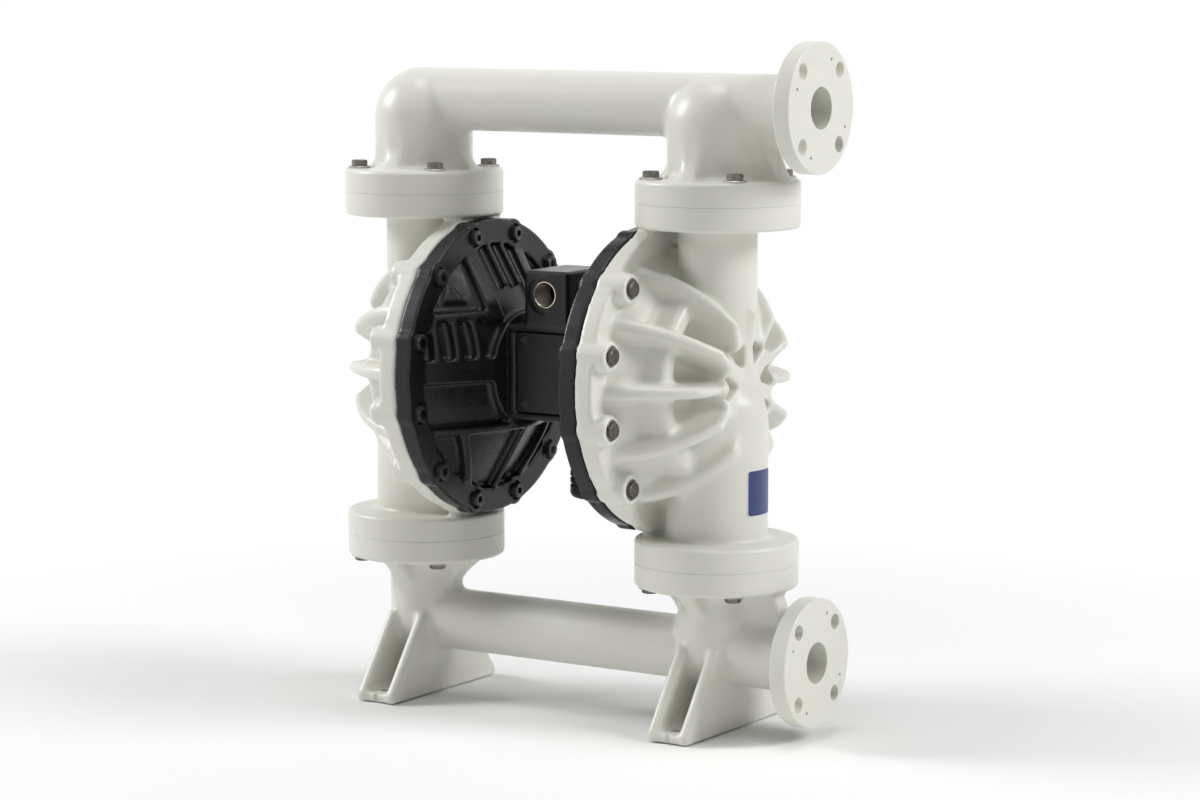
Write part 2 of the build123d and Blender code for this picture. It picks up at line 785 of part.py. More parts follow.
with BuildPart() as air_cover:
    with BuildSketch(radial_plane(0)):
        with BuildLine():
            Polyline(
                (air_hub_x, 0),
                (air_hub_x, air_hub_r),
                (air_hub_x + air_rib_h, air_hub_r),
                (air_rim_x + air_rib_h, air_cone_r),
                (air_rim_x, air_cone_r),
                (air_rim_x, rim_r),
                (rim_plane_x, rim_r),
                (rim_plane_x, 0),
                close=True,
            )
        make_face()
    revolve(axis=cover_axis)
    with BuildSketch(cover_plane(air_rim_x)):
        with Locations(*rim_places(rim_bolt_angles + rim_screw_angles)):
            Circle(rim_boss_r)
    extrude(amount=air_rim_t)
    add(air_ribs.part)
    add(air_triangles.part)
    with BuildSketch(radial_plane(0)):
        with BuildLine():
            Polyline(
                (chamber_hub_x, 0),
                (chamber_hub_x, chamber_hub_r),
                (chamber_rim_x, diaphragm_bend_r),
                (rim_plane_x, diaphragm_bend_r),
                (rim_plane_x, 0),
                close=True,
            )
        make_face()
    revolve(axis=cover_axis, mode=Mode.SUBTRACT)
    with BuildSketch(cover_plane(rim_plane_x)):
        Circle(diaphragm_rim_r)
    extrude(amount=-diaphragm_t / 2, mode=Mode.SUBTRACT)
    with BuildSketch(cover_plane(air_hub_x)):
        Circle(shaft_seal_r)
        with Locations((0, -pilot_offset_z)):
            Circle(pilot_bush_r)
    extrude(amount=air_rib_h, mode=Mode.SUBTRACT)
    with BuildSketch(cover_plane(air_hub_x)):
        with Locations((housing_screw_y, 0)):
            with GridLocations(housing_screw_pitch_y, housing_screw_pitch_z, 2, 2):
                Circle(housing_screw_r + bolt_gap)
    extrude(amount=air_rib_h, mode=Mode.SUBTRACT)
    with BuildSketch(cover_plane(air_rim_x)):
        with Locations(*rim_places(rim_bolt_angles + rim_screw_angles)):
            Circle(bolt_hole_r)
    extrude(amount=air_rim_t, mode=Mode.SUBTRACT)
    with BuildSketch(cover_plane(air_rim_x)):
        with Locations(*rim_places(rim_bolt_angles + rim_screw_angles)):
            Circle(air_nut_bore_r)
    extrude(amount=air_nut_bore_h, mode=Mode.SUBTRACT)
write_pair(air_cover.part, "air_cover")

# Centre housing: two end plates, a core and the air inlet block on top
plate_inner_x = air_hub_x - gasket_t - housing_plate_t
with BuildPart() as centre_housing:
    plate_y = (housing_front_y + housing_back_y) / 2
    plate_z = (housing_low_z + housing_high_z) / 2 - cover_axis_z
    with BuildSketch(cover_plane(-air_hub_x + gasket_t)):
        with Locations((plate_y, plate_z)):
            RectangleRounded(
                housing_back_y - housing_front_y, housing_high_z - housing_low_z, housing_round
            )
    extrude(amount=2 * (air_hub_x - gasket_t))
    with BuildSketch(cover_plane(-plate_inner_x)):
        with Locations((housing_front_y, plate_z)):
            Rectangle(
                2 * (housing_core_y - housing_front_y), housing_high_z - housing_low_z + housing_round
            )
    extrude(amount=2 * plate_inner_x, mode=Mode.SUBTRACT)
    block_y = (inlet_block_front_y + inlet_block_back_y) / 2
    with BuildSketch(Plane.XY.offset(housing_high_z - housing_round)):
        with Locations((0, block_y)):
            RectangleRounded(
                inlet_block_w, inlet_block_back_y - inlet_block_front_y, housing_round
            )
    extrude(amount=inlet_block_top_z - housing_high_z + housing_round)
    fillet(centre_housing.faces().sort_by(Axis.Z)[-1].edges(), housing_round / 2)
    with BuildSketch(Plane.XY.offset(exhaust_boss_low_z)):
        with Locations((0, muffler_y)):
            Circle(exhaust_boss_r)
        with Locations((0, (muffler_y + housing_back_y) / 2 - exhaust_boss_r / 2)):
            Rectangle(2 * exhaust_boss_r, muffler_y - housing_back_y + exhaust_boss_r)
    extrude(amount=exhaust_boss_h)
    with BuildSketch(Plane.XZ.offset(-inlet_block_front_y)):
        with Locations((0, air_port_z)):
            Circle(air_port_r)
    extrude(amount=-air_port_depth, mode=Mode.SUBTRACT)
    with BuildSketch(cover_plane(-air_hub_x)):
        Circle(shaft_r + shaft_way)
    extrude(amount=2 * air_hub_x, mode=Mode.SUBTRACT)
    bush_end_x = air_hub_x - gasket_t - shaft_bush_in
    for side in (-1, 1):
        with BuildSketch(cover_plane(side * air_hub_x)):
            Circle(shaft_bush_r)
        extrude(amount=-side * (air_hub_x - bush_end_x + shaft_bush_length), mode=Mode.SUBTRACT)
        with BuildSketch(cover_plane(side * air_hub_x)):
            with Locations((0, -pilot_offset_z)):
                Circle(pilot_bush_r)
        extrude(amount=-side * (air_hub_x - pilot_bush_inner_x), mode=Mode.SUBTRACT)
        with BuildSketch(cover_plane(side * air_hub_x)):
            with Locations((0, -pilot_offset_z)):
                Circle(pilot_pin_r + bolt_gap)
        pin_end_x = shaft_end_x - stroke * (1 - pilot_ratio) - seat_gap - pilot_pin_length
        extrude(amount=-side * (air_hub_x - pin_end_x + pilot_pin_room), mode=Mode.SUBTRACT)
        with BuildSketch(cover_plane(side * air_hub_x)):
            with Locations((housing_screw_y, 0)):
                with GridLocations(housing_screw_pitch_y, housing_screw_pitch_z, 2, 2):
                    Circle(housing_screw_r)
        extrude(amount=-side * housing_screw_depth, mode=Mode.SUBTRACT)
    with BuildSketch(Plane.XZ.offset(-housing_core_y)):
        with Locations((0, plate_z + cover_axis_z)):
            with GridLocations(valve_screw_pitch_x, valve_screw_pitch_z, 2, 2):
                Circle(valve_screw_r)
    extrude(amount=-valve_screw_grip, mode=Mode.SUBTRACT)
    with BuildSketch(Plane.XY.offset(exhaust_boss_low_z)):
        with Locations((0, muffler_y)):
            Circle(muffler_neck_r)
    extrude(amount=muffler_thread_h, mode=Mode.SUBTRACT)
write(centre_housing.part, "centre_housing")

with BuildPart() as air_inlet_bushing:
    with BuildSketch(Plane.XZ.offset(air_port_lip - inlet_block_front_y)):
        with Locations((0, air_port_z)):
            Circle(air_port_r - running_gap)
            Circle(air_port_bore_r, mode=Mode.SUBTRACT)
    extrude(amount=-(air_port_depth + air_port_lip))
    chamfer(air_inlet_bushing.edges().group_by(Axis.Y)[0], air_port_lip / 3)
write(air_inlet_bushing.part, "air_inlet_bushing")

with BuildPart() as muffler:
    with BuildSketch(Plane.XY.offset(muffler_low_z)):
        with Locations((0, muffler_y)):
            Circle(muffler_r)
    extrude(amount=muffler_h)
    fillet(muffler.edges().filter_by(GeomType.CIRCLE), muffler_round)
    for groove in range(muffler_groove_count):
        groove_rise = (groove - (muffler_groove_count - 1) / 2) * muffler_groove_pitch
        with BuildSketch(Plane.XY.offset(muffler_low_z + muffler_h / 2 + groove_rise)):
            with Locations((0, muffler_y)):
                Circle(muffler_r)
                Circle(muffler_r - muffler_groove_h, mode=Mode.SUBTRACT)
        extrude(amount=muffler_groove_w / 2, both=True, mode=Mode.SUBTRACT)
    with BuildSketch(Plane.XY.offset(muffler_low_z + muffler_h)):
        with Locations((0, muffler_y)):
            Circle(muffler_neck_r - running_gap)
    muffler_top_z = exhaust_boss_low_z + muffler_thread_h
    extrude(amount=muffler_top_z - muffler_low_z - muffler_h)
write(muffler.part, "muffler")

# Gaskets and screws between the housing and the air covers
with BuildPart() as housing_gaskets:
    for side in (-1, 1):
        with BuildSketch(cover_plane(side * (air_hub_x - gasket_t))):
            with Locations((plate_y, plate_z)):
                RectangleRounded(
                    housing_back_y - housing_front_y, housing_high_z - housing_low_z, housing_round
                )
            Circle(air_hub_r - end_gap, mode=Mode.INTERSECT)
            Circle(shaft_seal_r, mode=Mode.SUBTRACT)
            with Locations((0, -pilot_offset_z)):
                Circle(pilot_bush_r, mode=Mode.SUBTRACT)
            with Locations((housing_screw_y, 0)):
                with GridLocations(housing_screw_pitch_y, housing_screw_pitch_z, 2, 2):
                    Circle(housing_screw_r, mode=Mode.SUBTRACT)
        extrude(amount=side * gasket_t)
write(housing_gaskets.part, "housing_gaskets")

with BuildPart() as housing_screws:
    for side in (-1, 1):
        with BuildSketch(cover_plane(side * chamber_hub_x)):
            with Locations((housing_screw_y, 0)):
                with GridLocations(housing_screw_pitch_y, housing_screw_pitch_z, 2, 2):
                    Circle(housing_screw_head_r)
        extrude(amount=side * housing_screw_head_h)
        with BuildSketch(cover_plane(side * chamber_hub_x)):
            with Locations((housing_screw_y, 0)):
                with GridLocations(housing_screw_pitch_y, housing_screw_pitch_z, 2, 2):
                    Circle(housing_screw_r - running_gap)
        extrude(amount=-side * (air_rib_h + housing_screw_depth - end_gap))
write(housing_screws.part, "housing_screws")

# Shaft guides and seals
with BuildPart() as shaft_bushes:
    for side in (-1, 1):
        with BuildSketch(cover_plane(side * bush_end_x)):
            Circle(shaft_bush_r - running_gap)
            Circle(shaft_r + running_gap, mode=Mode.SUBTRACT)
        extrude(amount=-side * shaft_bush_length)
write(shaft_bushes.part, "shaft_bushes")

with BuildPart() as shaft_seals:
    for side in (-1, 1):
        with BuildSketch(cover_plane(side * air_hub_x)):
            Circle(shaft_seal_r - running_gap)
            Circle(shaft_r + seat_gap, mode=Mode.SUBTRACT)
        extrude(amount=side * air_rib_h)
write(shaft_seals.part, "shaft_seals")

with BuildPart() as pilot_bushes:
    for side in (-1, 1):
        with BuildSketch(cover_plane(side * pilot_bush_inner_x)):
            with Locations((0, -pilot_offset_z)):
                Circle(pilot_bush_r - running_gap)
                Circle(pilot_pin_r + running_gap, mode=Mode.SUBTRACT)
        extrude(amount=side * (chamber_hub_x - pilot_bush_inner_x))
write(pilot_bushes.part, "pilot_bushes")

with BuildPart() as pilot_pin:
    with BuildSketch(cover_plane(pin_end_x)):
        with Locations((0, -pilot_offset_z)):
            Circle(pilot_pin_r)
    extrude(amount=pilot_pin_length)
    chamfer(pilot_pin.edges().filter_by(GeomType.CIRCLE), pilot_chamfer)
write_pair(pilot_pin.part, "pilot_pin")

# Shaft with a plate on each side of each diaphragm
air_plate_x = shaft_end_x + air_plate_t
diaphragm_x = air_plate_x + seat_gap
fluid_plate_x = diaphragm_x + diaphragm_t + seat_gap

with BuildPart() as shaft:
    with BuildSketch(cover_plane(-shaft_end_x)):
        Circle(shaft_r)
    extrude(amount=2 * shaft_end_x)
    chamfer(shaft.edges().filter_by(GeomType.CIRCLE), shaft_chamfer)
    for side in (-1, 1):
        with BuildSketch(cover_plane(side * shaft_end_x)):
            Circle(stud_r + running_gap)
        extrude(amount=-side * (stud_length + end_gap), mode=Mode.SUBTRACT)
write(shaft.part, "shaft")

with BuildPart() as air_plate:
    with BuildSketch(cover_plane(shaft_end_x)):
        Circle(plate_r)
        Circle(stud_r + running_gap, mode=Mode.SUBTRACT)
    extrude(amount=air_plate_t)
    fillet(air_plate.edges().filter_by(GeomType.CIRCLE).sort_by(SortBy.RADIUS)[-2:], plate_round)
write_pair(air_plate.part, "air_plate")

with BuildPart() as fluid_plate:
    with BuildSketch(radial_plane(0)):
        with BuildLine():
            Polyline(
                (fluid_plate_x + plate_round, plate_r),
                (fluid_plate_x, plate_r - plate_round),
                (fluid_plate_x, stud_r),
                (shaft_end_x - stud_length, stud_r),
                (shaft_end_x - stud_length, 0),
                (fluid_plate_x + fluid_plate_t, 0),
                (fluid_plate_x + fluid_plate_t, fluid_plate_rise_r),
            )
            SagittaArc(
                (fluid_plate_x + fluid_plate_t, fluid_plate_rise_r),
                (fluid_plate_x + plate_round, plate_r),
                plate_round,
            )
        make_face()
    revolve(axis=cover_axis)
write_pair(fluid_plate.part, "fluid_plate")

with BuildPart() as diaphragm:
    diaphragm_rim_x = rim_plane_x - diaphragm_t / 2
    hub_hole_r = stud_r + seat_gap
    with BuildSketch(radial_plane(0)):
        with BuildLine():
            Polyline(
                (diaphragm_rim_x, diaphragm_rim_r - running_gap),
                (diaphragm_rim_x, diaphragm_bend_r),
                (diaphragm_x, diaphragm_hub_r),
                (diaphragm_x, hub_hole_r),
                (diaphragm_x + diaphragm_t, hub_hole_r),
                (diaphragm_x + diaphragm_t, diaphragm_hub_r),
                (diaphragm_rim_x + diaphragm_t, diaphragm_bend_r),
                (diaphragm_rim_x + diaphragm_t, diaphragm_rim_r - running_gap),
                close=True,
            )
        make_face()
    revolve(axis=cover_axis)
write_pair(diaphragm.part, "diaphragm")

# Air valve in the front recess of the housing
valve_end_x = plate_inner_x - valve_end_gap
valve_axis_z = plate_z + cover_axis_z
valve_h = housing_high_z - housing_low_z - 2 * valve_margin_z
valve_back_y = housing_core_y - gasket_t
slide_back_y = valve_back_y - valve_plate_t - seat_gap
slide_front_y = valve_axis_y + spool_waist_r + seat_gap
spool_x = -(spool_length + spool_travel) / 2
slide_room = valve_slide_length + spool_travel + 2 * valve_slide_room

with BuildPart() as air_valve_body:
    with BuildSketch(Plane.XZ.offset(-valve_back_y)):
        with Locations((0, valve_axis_z)):
            RectangleRounded(2 * valve_end_x, valve_h, valve_round)
    extrude(amount=valve_back_y - housing_front_y)
    front = air_valve_body.faces().sort_by(Axis.Y)[0]
    fillet(front.edges(), valve_round / 2)
    with BuildSketch(Plane.YZ.offset(-valve_end_x)):
        with Locations((valve_axis_y, valve_axis_z)):
            Circle(valve_bore_r)
    extrude(amount=2 * valve_end_x, mode=Mode.SUBTRACT)
    for side in (-1, 1):
        with BuildSketch(Plane.YZ.offset(side * valve_end_x)):
            with Locations((valve_axis_y, valve_axis_z)):
                Circle(valve_cap_r)
        extrude(amount=-side * valve_cap_t, mode=Mode.SUBTRACT)
    with BuildSketch(Plane.XZ.offset(-valve_back_y)):
        with Locations((0, valve_axis_z)):
            Rectangle(valve_plate_length, valve_plate_w)
    extrude(amount=valve_plate_t, mode=Mode.SUBTRACT)
    with BuildSketch(Plane.XZ.offset(-valve_back_y)):
        with Locations((0, valve_axis_z)):
            Rectangle(slide_room, valve_slide_w + 2 * valve_slide_gap)
    extrude(amount=valve_back_y - valve_axis_y, mode=Mode.SUBTRACT)
    with BuildSketch(Plane.XZ.offset(-housing_front_y)):
        with Locations((0, valve_axis_z)):
            with GridLocations(valve_screw_pitch_x, valve_screw_pitch_z, 2, 2):
                Circle(valve_screw_head_r + bolt_gap)
    extrude(amount=-valve_screw_head_h, mode=Mode.SUBTRACT)
    with BuildSketch(Plane.XZ.offset(-housing_front_y)):
        with Locations((0, valve_axis_z)):
            with GridLocations(valve_screw_pitch_x, valve_screw_pitch_z, 2, 2):
                Circle(valve_screw_r + bolt_gap)
    extrude(amount=housing_front_y - valve_back_y, mode=Mode.SUBTRACT)
write(air_valve_body.part, "air_valve_body")

with BuildPart() as air_valve_gasket:
    with BuildSketch(Plane.XZ.offset(-housing_core_y)):
        with Locations((0, valve_axis_z)):
            RectangleRounded(2 * valve_end_x, valve_h, valve_round)
            Rectangle(valve_plate_length / 2, valve_plate_w / 2, mode=Mode.SUBTRACT)
            with GridLocations(valve_screw_pitch_x, valve_screw_pitch_z, 2, 2):
                Circle(valve_screw_r + bolt_gap, mode=Mode.SUBTRACT)
    extrude(amount=gasket_t)
write(air_valve_gasket.part, "air_valve_gasket")

with BuildPart() as air_valve_plate:
    with BuildSketch(Plane.XZ.offset(-valve_back_y)):
        with Locations((0, valve_axis_z)):
            Rectangle(valve_plate_length - running_gap, valve_plate_w - running_gap)
            with GridLocations(valve_port_pitch, 0, valve_port_count, 1):
                Circle(valve_port_r, mode=Mode.SUBTRACT)
    extrude(amount=valve_plate_t)
write(air_valve_plate.part, "air_valve_plate")

with BuildPart() as air_valve_spool:
    with BuildSketch(Plane.YZ.offset(spool_x)):
        with Locations((valve_axis_y, valve_axis_z)):
            Circle(valve_bore_r - running_gap)
    extrude(amount=spool_length)
    with BuildSketch(Plane.YZ.offset(spool_x + spool_land)):
        with Locations((valve_axis_y, valve_axis_z)):
            Circle(valve_bore_r)
            Circle(spool_waist_r, mode=Mode.SUBTRACT)
    extrude(amount=spool_length - 2 * spool_land, mode=Mode.SUBTRACT)
write(air_valve_spool.part, "air_valve_spool")

with BuildPart() as air_valve_slide:
    with Locations((spool_x + spool_length / 2, (slide_front_y + slide_back_y) / 2, valve_axis_z)):
        Box(valve_slide_length, slide_back_y - slide_front_y, valve_slide_w)
write(air_valve_slide.part, "air_valve_slide")

with BuildPart() as air_valve_caps:
    for side in (-1, 1):
        with BuildSketch(Plane.YZ.offset(side * valve_end_x)):
            with Locations((valve_axis_y, valve_axis_z)):
                Circle(valve_cap_r - running_gap)
        extrude(amount=-side * valve_cap_t)
write(air_valve_caps.part, "air_valve_caps")

with BuildPart() as air_valve_screws:
    head_back_y = housing_front_y + valve_screw_head_h
    with BuildSketch(Plane.XZ.offset(-head_back_y)):
        with Locations((0, valve_axis_z)):
            with GridLocations(valve_screw_pitch_x, valve_screw_pitch_z, 2, 2):
                Circle(valve_screw_head_r)
    extrude(amount=valve_screw_head_h - end_gap)
    with BuildSketch(Plane.XZ.offset(-head_back_y)):
        with Locations((0, valve_axis_z)):
            with GridLocations(valve_screw_pitch_x, valve_screw_pitch_z, 2, 2):
                Circle(valve_screw_r - running_gap)
    extrude(amount=head_back_y - housing_core_y - valve_screw_grip + end_gap)
write(air_valve_screws.part, "air_valve_screws")

# Manifold bolts, washers and the threaded inserts that they screw into
for stage, seam_z, side in (("outlet", upper_seam_z, 1), ("inlet", lower_seam_z, -1)):
    face_z = seam_z + side * joint_disc_t
    head_z = face_z + side * washer_t
    with BuildPart() as joint_bolts:
        with BuildSketch(Plane.XY.offset(head_z)):
            for x in (-column_x, column_x):
                with Locations((x, 0)):
                    with PolarLocations(joint_bolt_circle_r, joint_bolt_count, 45):
                        RegularPolygon(joint_hex / 2, 6, major_radius=False)
        extrude(amount=side * joint_head_h)
        add(bolt_holes(seam_z - side * (insert_length - end_gap), head_z, bolt_r - running_gap))
    write(joint_bolts.part, f"{stage}_joint_bolts")
    with BuildPart() as joint_washers:
        with BuildSketch(Plane.XY.offset(face_z)):
            for x in (-column_x, column_x):
                with Locations((x, 0)):
                    with PolarLocations(joint_bolt_circle_r, joint_bolt_count, 45):
                        Circle(washer_r)
                        Circle(bolt_r + bolt_gap, mode=Mode.SUBTRACT)
        extrude(amount=side * washer_t)
    write(joint_washers.part, f"{stage}_joint_washers")

with BuildPart() as joint_inserts:
    for seam_z, side in ((upper_seam_z, -1), (lower_seam_z, 1)):
        with BuildSketch(Plane.XY.offset(seam_z)):
            for x in (-column_x, column_x):
                with Locations((x, 0)):
                    with PolarLocations(joint_bolt_circle_r, joint_bolt_count, 45):
                        Circle(insert_r - running_gap)
                        Circle(bolt_r, mode=Mode.SUBTRACT)
        extrude(amount=side * insert_length)
write(joint_inserts.part, "joint_inserts")

# Cover bolts, their nuts, and the cap screws beside the columns
boss_floor_x = rim_plane_x + fluid_boss_h - fluid_boss_bore_h
nut_seat_x = air_rim_x + air_nut_bore_h
nut_end_x = nut_seat_x - rim_flange_t - nut_h

with BuildPart() as cover_bolts:
    with BuildSketch(cover_plane(boss_floor_x)):
        with Locations(*rim_places(rim_bolt_angles)):
            Circle(rim_flange_r)
    extrude(amount=rim_flange_t)
    with BuildSketch(cover_plane(boss_floor_x + rim_flange_t)):
        with Locations(*rim_places(rim_bolt_angles)):
            RegularPolygon(rim_hex / 2, 6, major_radius=False)
    extrude(amount=rim_head_h)
    with BuildSketch(cover_plane(boss_floor_x)):
        with Locations(*rim_places(rim_bolt_angles)):
            Circle(bolt_r - running_gap)
    extrude(amount=-(boss_floor_x - nut_end_x))
write_pair(cover_bolts.part, "cover_bolts")

with BuildPart() as cover_nuts:
    with BuildSketch(cover_plane(nut_seat_x)):
        with Locations(*rim_places(rim_bolt_angles)):
            Circle(rim_flange_r)
            Circle(bolt_r, mode=Mode.SUBTRACT)
    extrude(amount=-rim_flange_t)
    with BuildSketch(cover_plane(nut_seat_x - rim_flange_t)):
        with Locations(*rim_places(rim_bolt_angles)):
            RegularPolygon(rim_hex / 2, 6, major_radius=False)
            Circle(bolt_r, mode=Mode.SUBTRACT)
    extrude(amount=-nut_h)
write_pair(cover_nuts.part, "cover_nuts")

with BuildPart() as cover_screws:
    with BuildSketch(cover_plane(nut_seat_x)):
        with Locations(*rim_places(rim_screw_angles)):
            Circle(cap_screw_head_r)
    extrude(amount=-cap_screw_head_h)
    chamfer(cover_screws.edges().filter_by(GeomType.CIRCLE).group_by(Axis.X)[0], cap_screw_chamfer)
    with BuildSketch(cover_plane(nut_seat_x - cap_screw_head_h)):
        with Locations(*rim_places(rim_screw_angles)):
            RegularPolygon(cap_screw_hex / 2, 6, major_radius=False)
    extrude(amount=cap_screw_head_h / 2, mode=Mode.SUBTRACT)
    with BuildSketch(cover_plane(nut_seat_x)):
        with Locations(*rim_places(rim_screw_angles)):
            Circle(bolt_r - running_gap)
    extrude(amount=rim_plane_x + rim_screw_depth - end_gap - nut_seat_x)
write_pair(cover_screws.part, "cover_screws")

# Rating plate wrapped round the lower right column
with BuildPart() as rating_plate:
    with BuildSketch(Plane.XY.offset(label_low_z)):
        with Locations((column_x, 0)):
            Circle(lower_column_r + label_t)
            Circle(lower_column_r, mode=Mode.SUBTRACT)
        with Locations((column_x + lower_column_r, 0)):
            label_chord = 2 * lower_column_r * sin(radians(label_half_angle))
            Rectangle(lower_column_r, label_chord, mode=Mode.INTERSECT)
    extrude(amount=label_h)
write(rating_plate.part, "rating_plate")
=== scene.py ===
import json
import math

import bpy
from mathutils import Matrix, Vector


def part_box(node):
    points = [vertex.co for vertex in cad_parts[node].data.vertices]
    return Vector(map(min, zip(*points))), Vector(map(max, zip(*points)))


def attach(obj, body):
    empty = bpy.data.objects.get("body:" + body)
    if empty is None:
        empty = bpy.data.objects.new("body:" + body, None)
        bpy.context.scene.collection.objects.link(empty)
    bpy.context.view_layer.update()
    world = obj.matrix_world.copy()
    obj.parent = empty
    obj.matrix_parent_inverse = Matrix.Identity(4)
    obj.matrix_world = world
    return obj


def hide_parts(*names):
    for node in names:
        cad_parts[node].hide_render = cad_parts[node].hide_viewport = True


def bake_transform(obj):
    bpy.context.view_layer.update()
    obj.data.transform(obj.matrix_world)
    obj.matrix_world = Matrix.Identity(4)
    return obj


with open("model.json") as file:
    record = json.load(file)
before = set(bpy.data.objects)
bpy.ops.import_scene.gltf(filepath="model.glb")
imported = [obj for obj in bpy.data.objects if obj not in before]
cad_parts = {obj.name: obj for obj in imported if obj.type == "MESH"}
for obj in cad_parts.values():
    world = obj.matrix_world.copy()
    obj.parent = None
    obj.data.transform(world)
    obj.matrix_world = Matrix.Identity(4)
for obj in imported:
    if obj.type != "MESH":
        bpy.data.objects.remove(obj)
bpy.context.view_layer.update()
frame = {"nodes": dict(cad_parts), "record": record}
bpy.ops.object.select_all(action="DESELECT")
scene = bpy.context.scene
scene.view_settings.view_transform = "Standard"
mm = 0.001  # the pieces are sized in millimetres, and the camera, floor and lamps in metres
print("frame loaded:", len(frame["nodes"]), "nodes")


# Where things are, read from the frame

mounts = {mount["name"]: mount for mount in frame["record"]["mounts"]}


def nodeBox(node):
    low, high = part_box(node)
    return [value / mm for value in low], [value / mm for value in high]


def nodeMiddle(node):
    low, high = nodeBox(node)
    return [(a + b) / 2 for a, b in zip(low, high)]


columnX = nodeMiddle("right_inlet_check_ball")[0]
coverZ = nodeMiddle("shaft")[2]
lowerSeam = nodeBox("right_inlet_valve_seat")[1][2]
upperSeam = nodeBox("right_outlet_valve_seat")[1][2]
portX, _, outletZ = [value / mm for value in mounts["outlet_flange_bolts"]["pos_m"]]
inletZ = mounts["inlet_flange_bolts"]["pos_m"][2] / mm
columns = (-columnX, columnX)
hands = {"right": 1, "left": -1}


# Sizes that several pieces share

rimPlaneX = 127.0  # where the fluid and air covers meet
clamp = {"bend": 142.0, "rim": 156.0}  # radii where the covers hold the diaphragm
cage = {"bore": 46.0, "seatBore": 46.05, "seatDepth": 13.0}  # room for a check ball and its seat
boltBore = 5.6
overrun = 5.0  # how far a cutter stands out of what it cuts
quality = 1.0  # larger voxels while trying things
smoothAngle = 35.0
mostTriangles = 170000


# Modelling helpers


def pick(*pieces):
    bpy.ops.object.select_all(action="DESELECT")
    for piece in pieces:
        piece.select_set(True)
    bpy.context.view_layer.objects.active = pieces[-1]


def settle(piece):
    pick(piece)
    bpy.ops.object.transform_apply(location=True, rotation=True, scale=True)
    return piece


def rod(start, end, radius, endRadius=None, sides=96):
    a = Vector(start) * mm
    b = Vector(end) * mm
    bpy.ops.mesh.primitive_cone_add(
        vertices=sides,
        radius1=radius * mm,
        radius2=(radius if endRadius is None else endRadius) * mm,
        depth=(b - a).length,
        location=(a + b) / 2,
        rotation=(b - a).to_track_quat("Z", "Y").to_euler(),
    )
    return settle(bpy.context.object)


def rodX(start, end, y, z, radius, endRadius=None, sides=96):
    return rod((start, y, z), (end, y, z), radius, endRadius, sides)


def rodZ(x, y, start, end, radius, endRadius=None, sides=96):
    return rod((x, y, start), (x, y, end), radius, endRadius, sides)


def ball(centre, radius, sides=96):
    bpy.ops.mesh.primitive_uv_sphere_add(
        segments=sides, ring_count=sides // 2, radius=radius * mm, location=Vector(centre) * mm
    )
    return settle(bpy.context.object)


def block(low, high):
    size = [(b - a) * mm for a, b in zip(low, high)]
    middle = [(a + b) / 2 * mm for a, b in zip(low, high)]
    bpy.ops.mesh.primitive_cube_add(size=1, location=middle)
    bpy.context.object.scale = size
    return settle(bpy.context.object)


def outline(points, fill):
    bpy.ops.mesh.primitive_circle_add(vertices=len(points), fill_type=fill)
    piece = bpy.context.object
    for vertex, point in zip(piece.data.vertices, points):
        vertex.co = Vector(point) * mm
    return piece


def tidyMesh(piece):
    pick(piece)
    bpy.ops.object.mode_set(mode="EDIT")
    bpy.ops.mesh.select_all(action="SELECT")
    bpy.ops.mesh.remove_doubles(threshold=0.00001)
    bpy.ops.mesh.normals_make_consistent(inside=False)
    bpy.ops.object.mode_set(mode="OBJECT")
    return piece


def prism(points, way):
    # a flat outline drawn out along a vector
    piece = outline(points, "NGON")
    bpy.ops.object.mode_set(mode="EDIT")
    bpy.ops.mesh.select_all(action="SELECT")
    bpy.ops.mesh.extrude_region_move(TRANSFORM_OT_translate={"value": Vector(way) * mm})
    bpy.ops.object.mode_set(mode="OBJECT")
    return tidyMesh(piece)


def turned(points, centre, axis, steps=128):
    # an outline spun once round an axis
    piece = outline(points, "NOTHING")
    bpy.ops.object.mode_set(mode="EDIT")
    bpy.ops.mesh.select_all(action="SELECT")
    bpy.ops.mesh.spin(steps=steps, angle=math.tau, center=Vector(centre) * mm, axis=axis)
    bpy.ops.object.mode_set(mode="OBJECT")
    return tidyMesh(piece)


def turnedX(profile, z=None, steps=128):
    # profile of (x, radius) round the shaft's direction
    z = coverZ if z is None else z
    return turned([(x, 0, z + r) for x, r in profile], (0, 0, z), (1, 0, 0), steps)


def turnedZ(profile, x, y=0, steps=128):
    # profile of (radius, z) round an upright axis
    return turned([(x + r, y, z) for r, z in profile], (x, y, 0), (0, 0, 1), steps)


def arc(centre, radius, start, end, steps):
    return [
        (
            centre[0] + radius * math.cos(math.radians(start + (end - start) * i / steps)),
            centre[1] + radius * math.sin(math.radians(start + (end - start) * i / steps)),
        )
        for i in range(steps + 1)
    ]


def finish(piece):
    pick(piece)
    for modifier in list(piece.modifiers):
        bpy.ops.object.modifier_apply(modifier=modifier.name)
    return piece


def joined(pieces):
    pick(*pieces)
    if len(pieces) > 1:
        bpy.ops.object.join()
    return bpy.context.object


def combine(body, tool, how):
    modifier = body.modifiers.new("combine", "BOOLEAN")
    modifier.object = tool
    modifier.operation = how
    modifier.solver = "MANIFOLD"
    finish(body)
    bpy.data.objects.remove(tool)
    return body


def cut(body, cutters, how="DIFFERENCE"):
    # the small cutters are made one tool first, so that the large body is cut only once
    tool = cutters[0]
    for cutter in cutters[1:]:
        combine(tool, cutter, "UNION")
    return combine(body, tool, how)


def fused(body, extras):
    return cut(body, extras, "UNION")


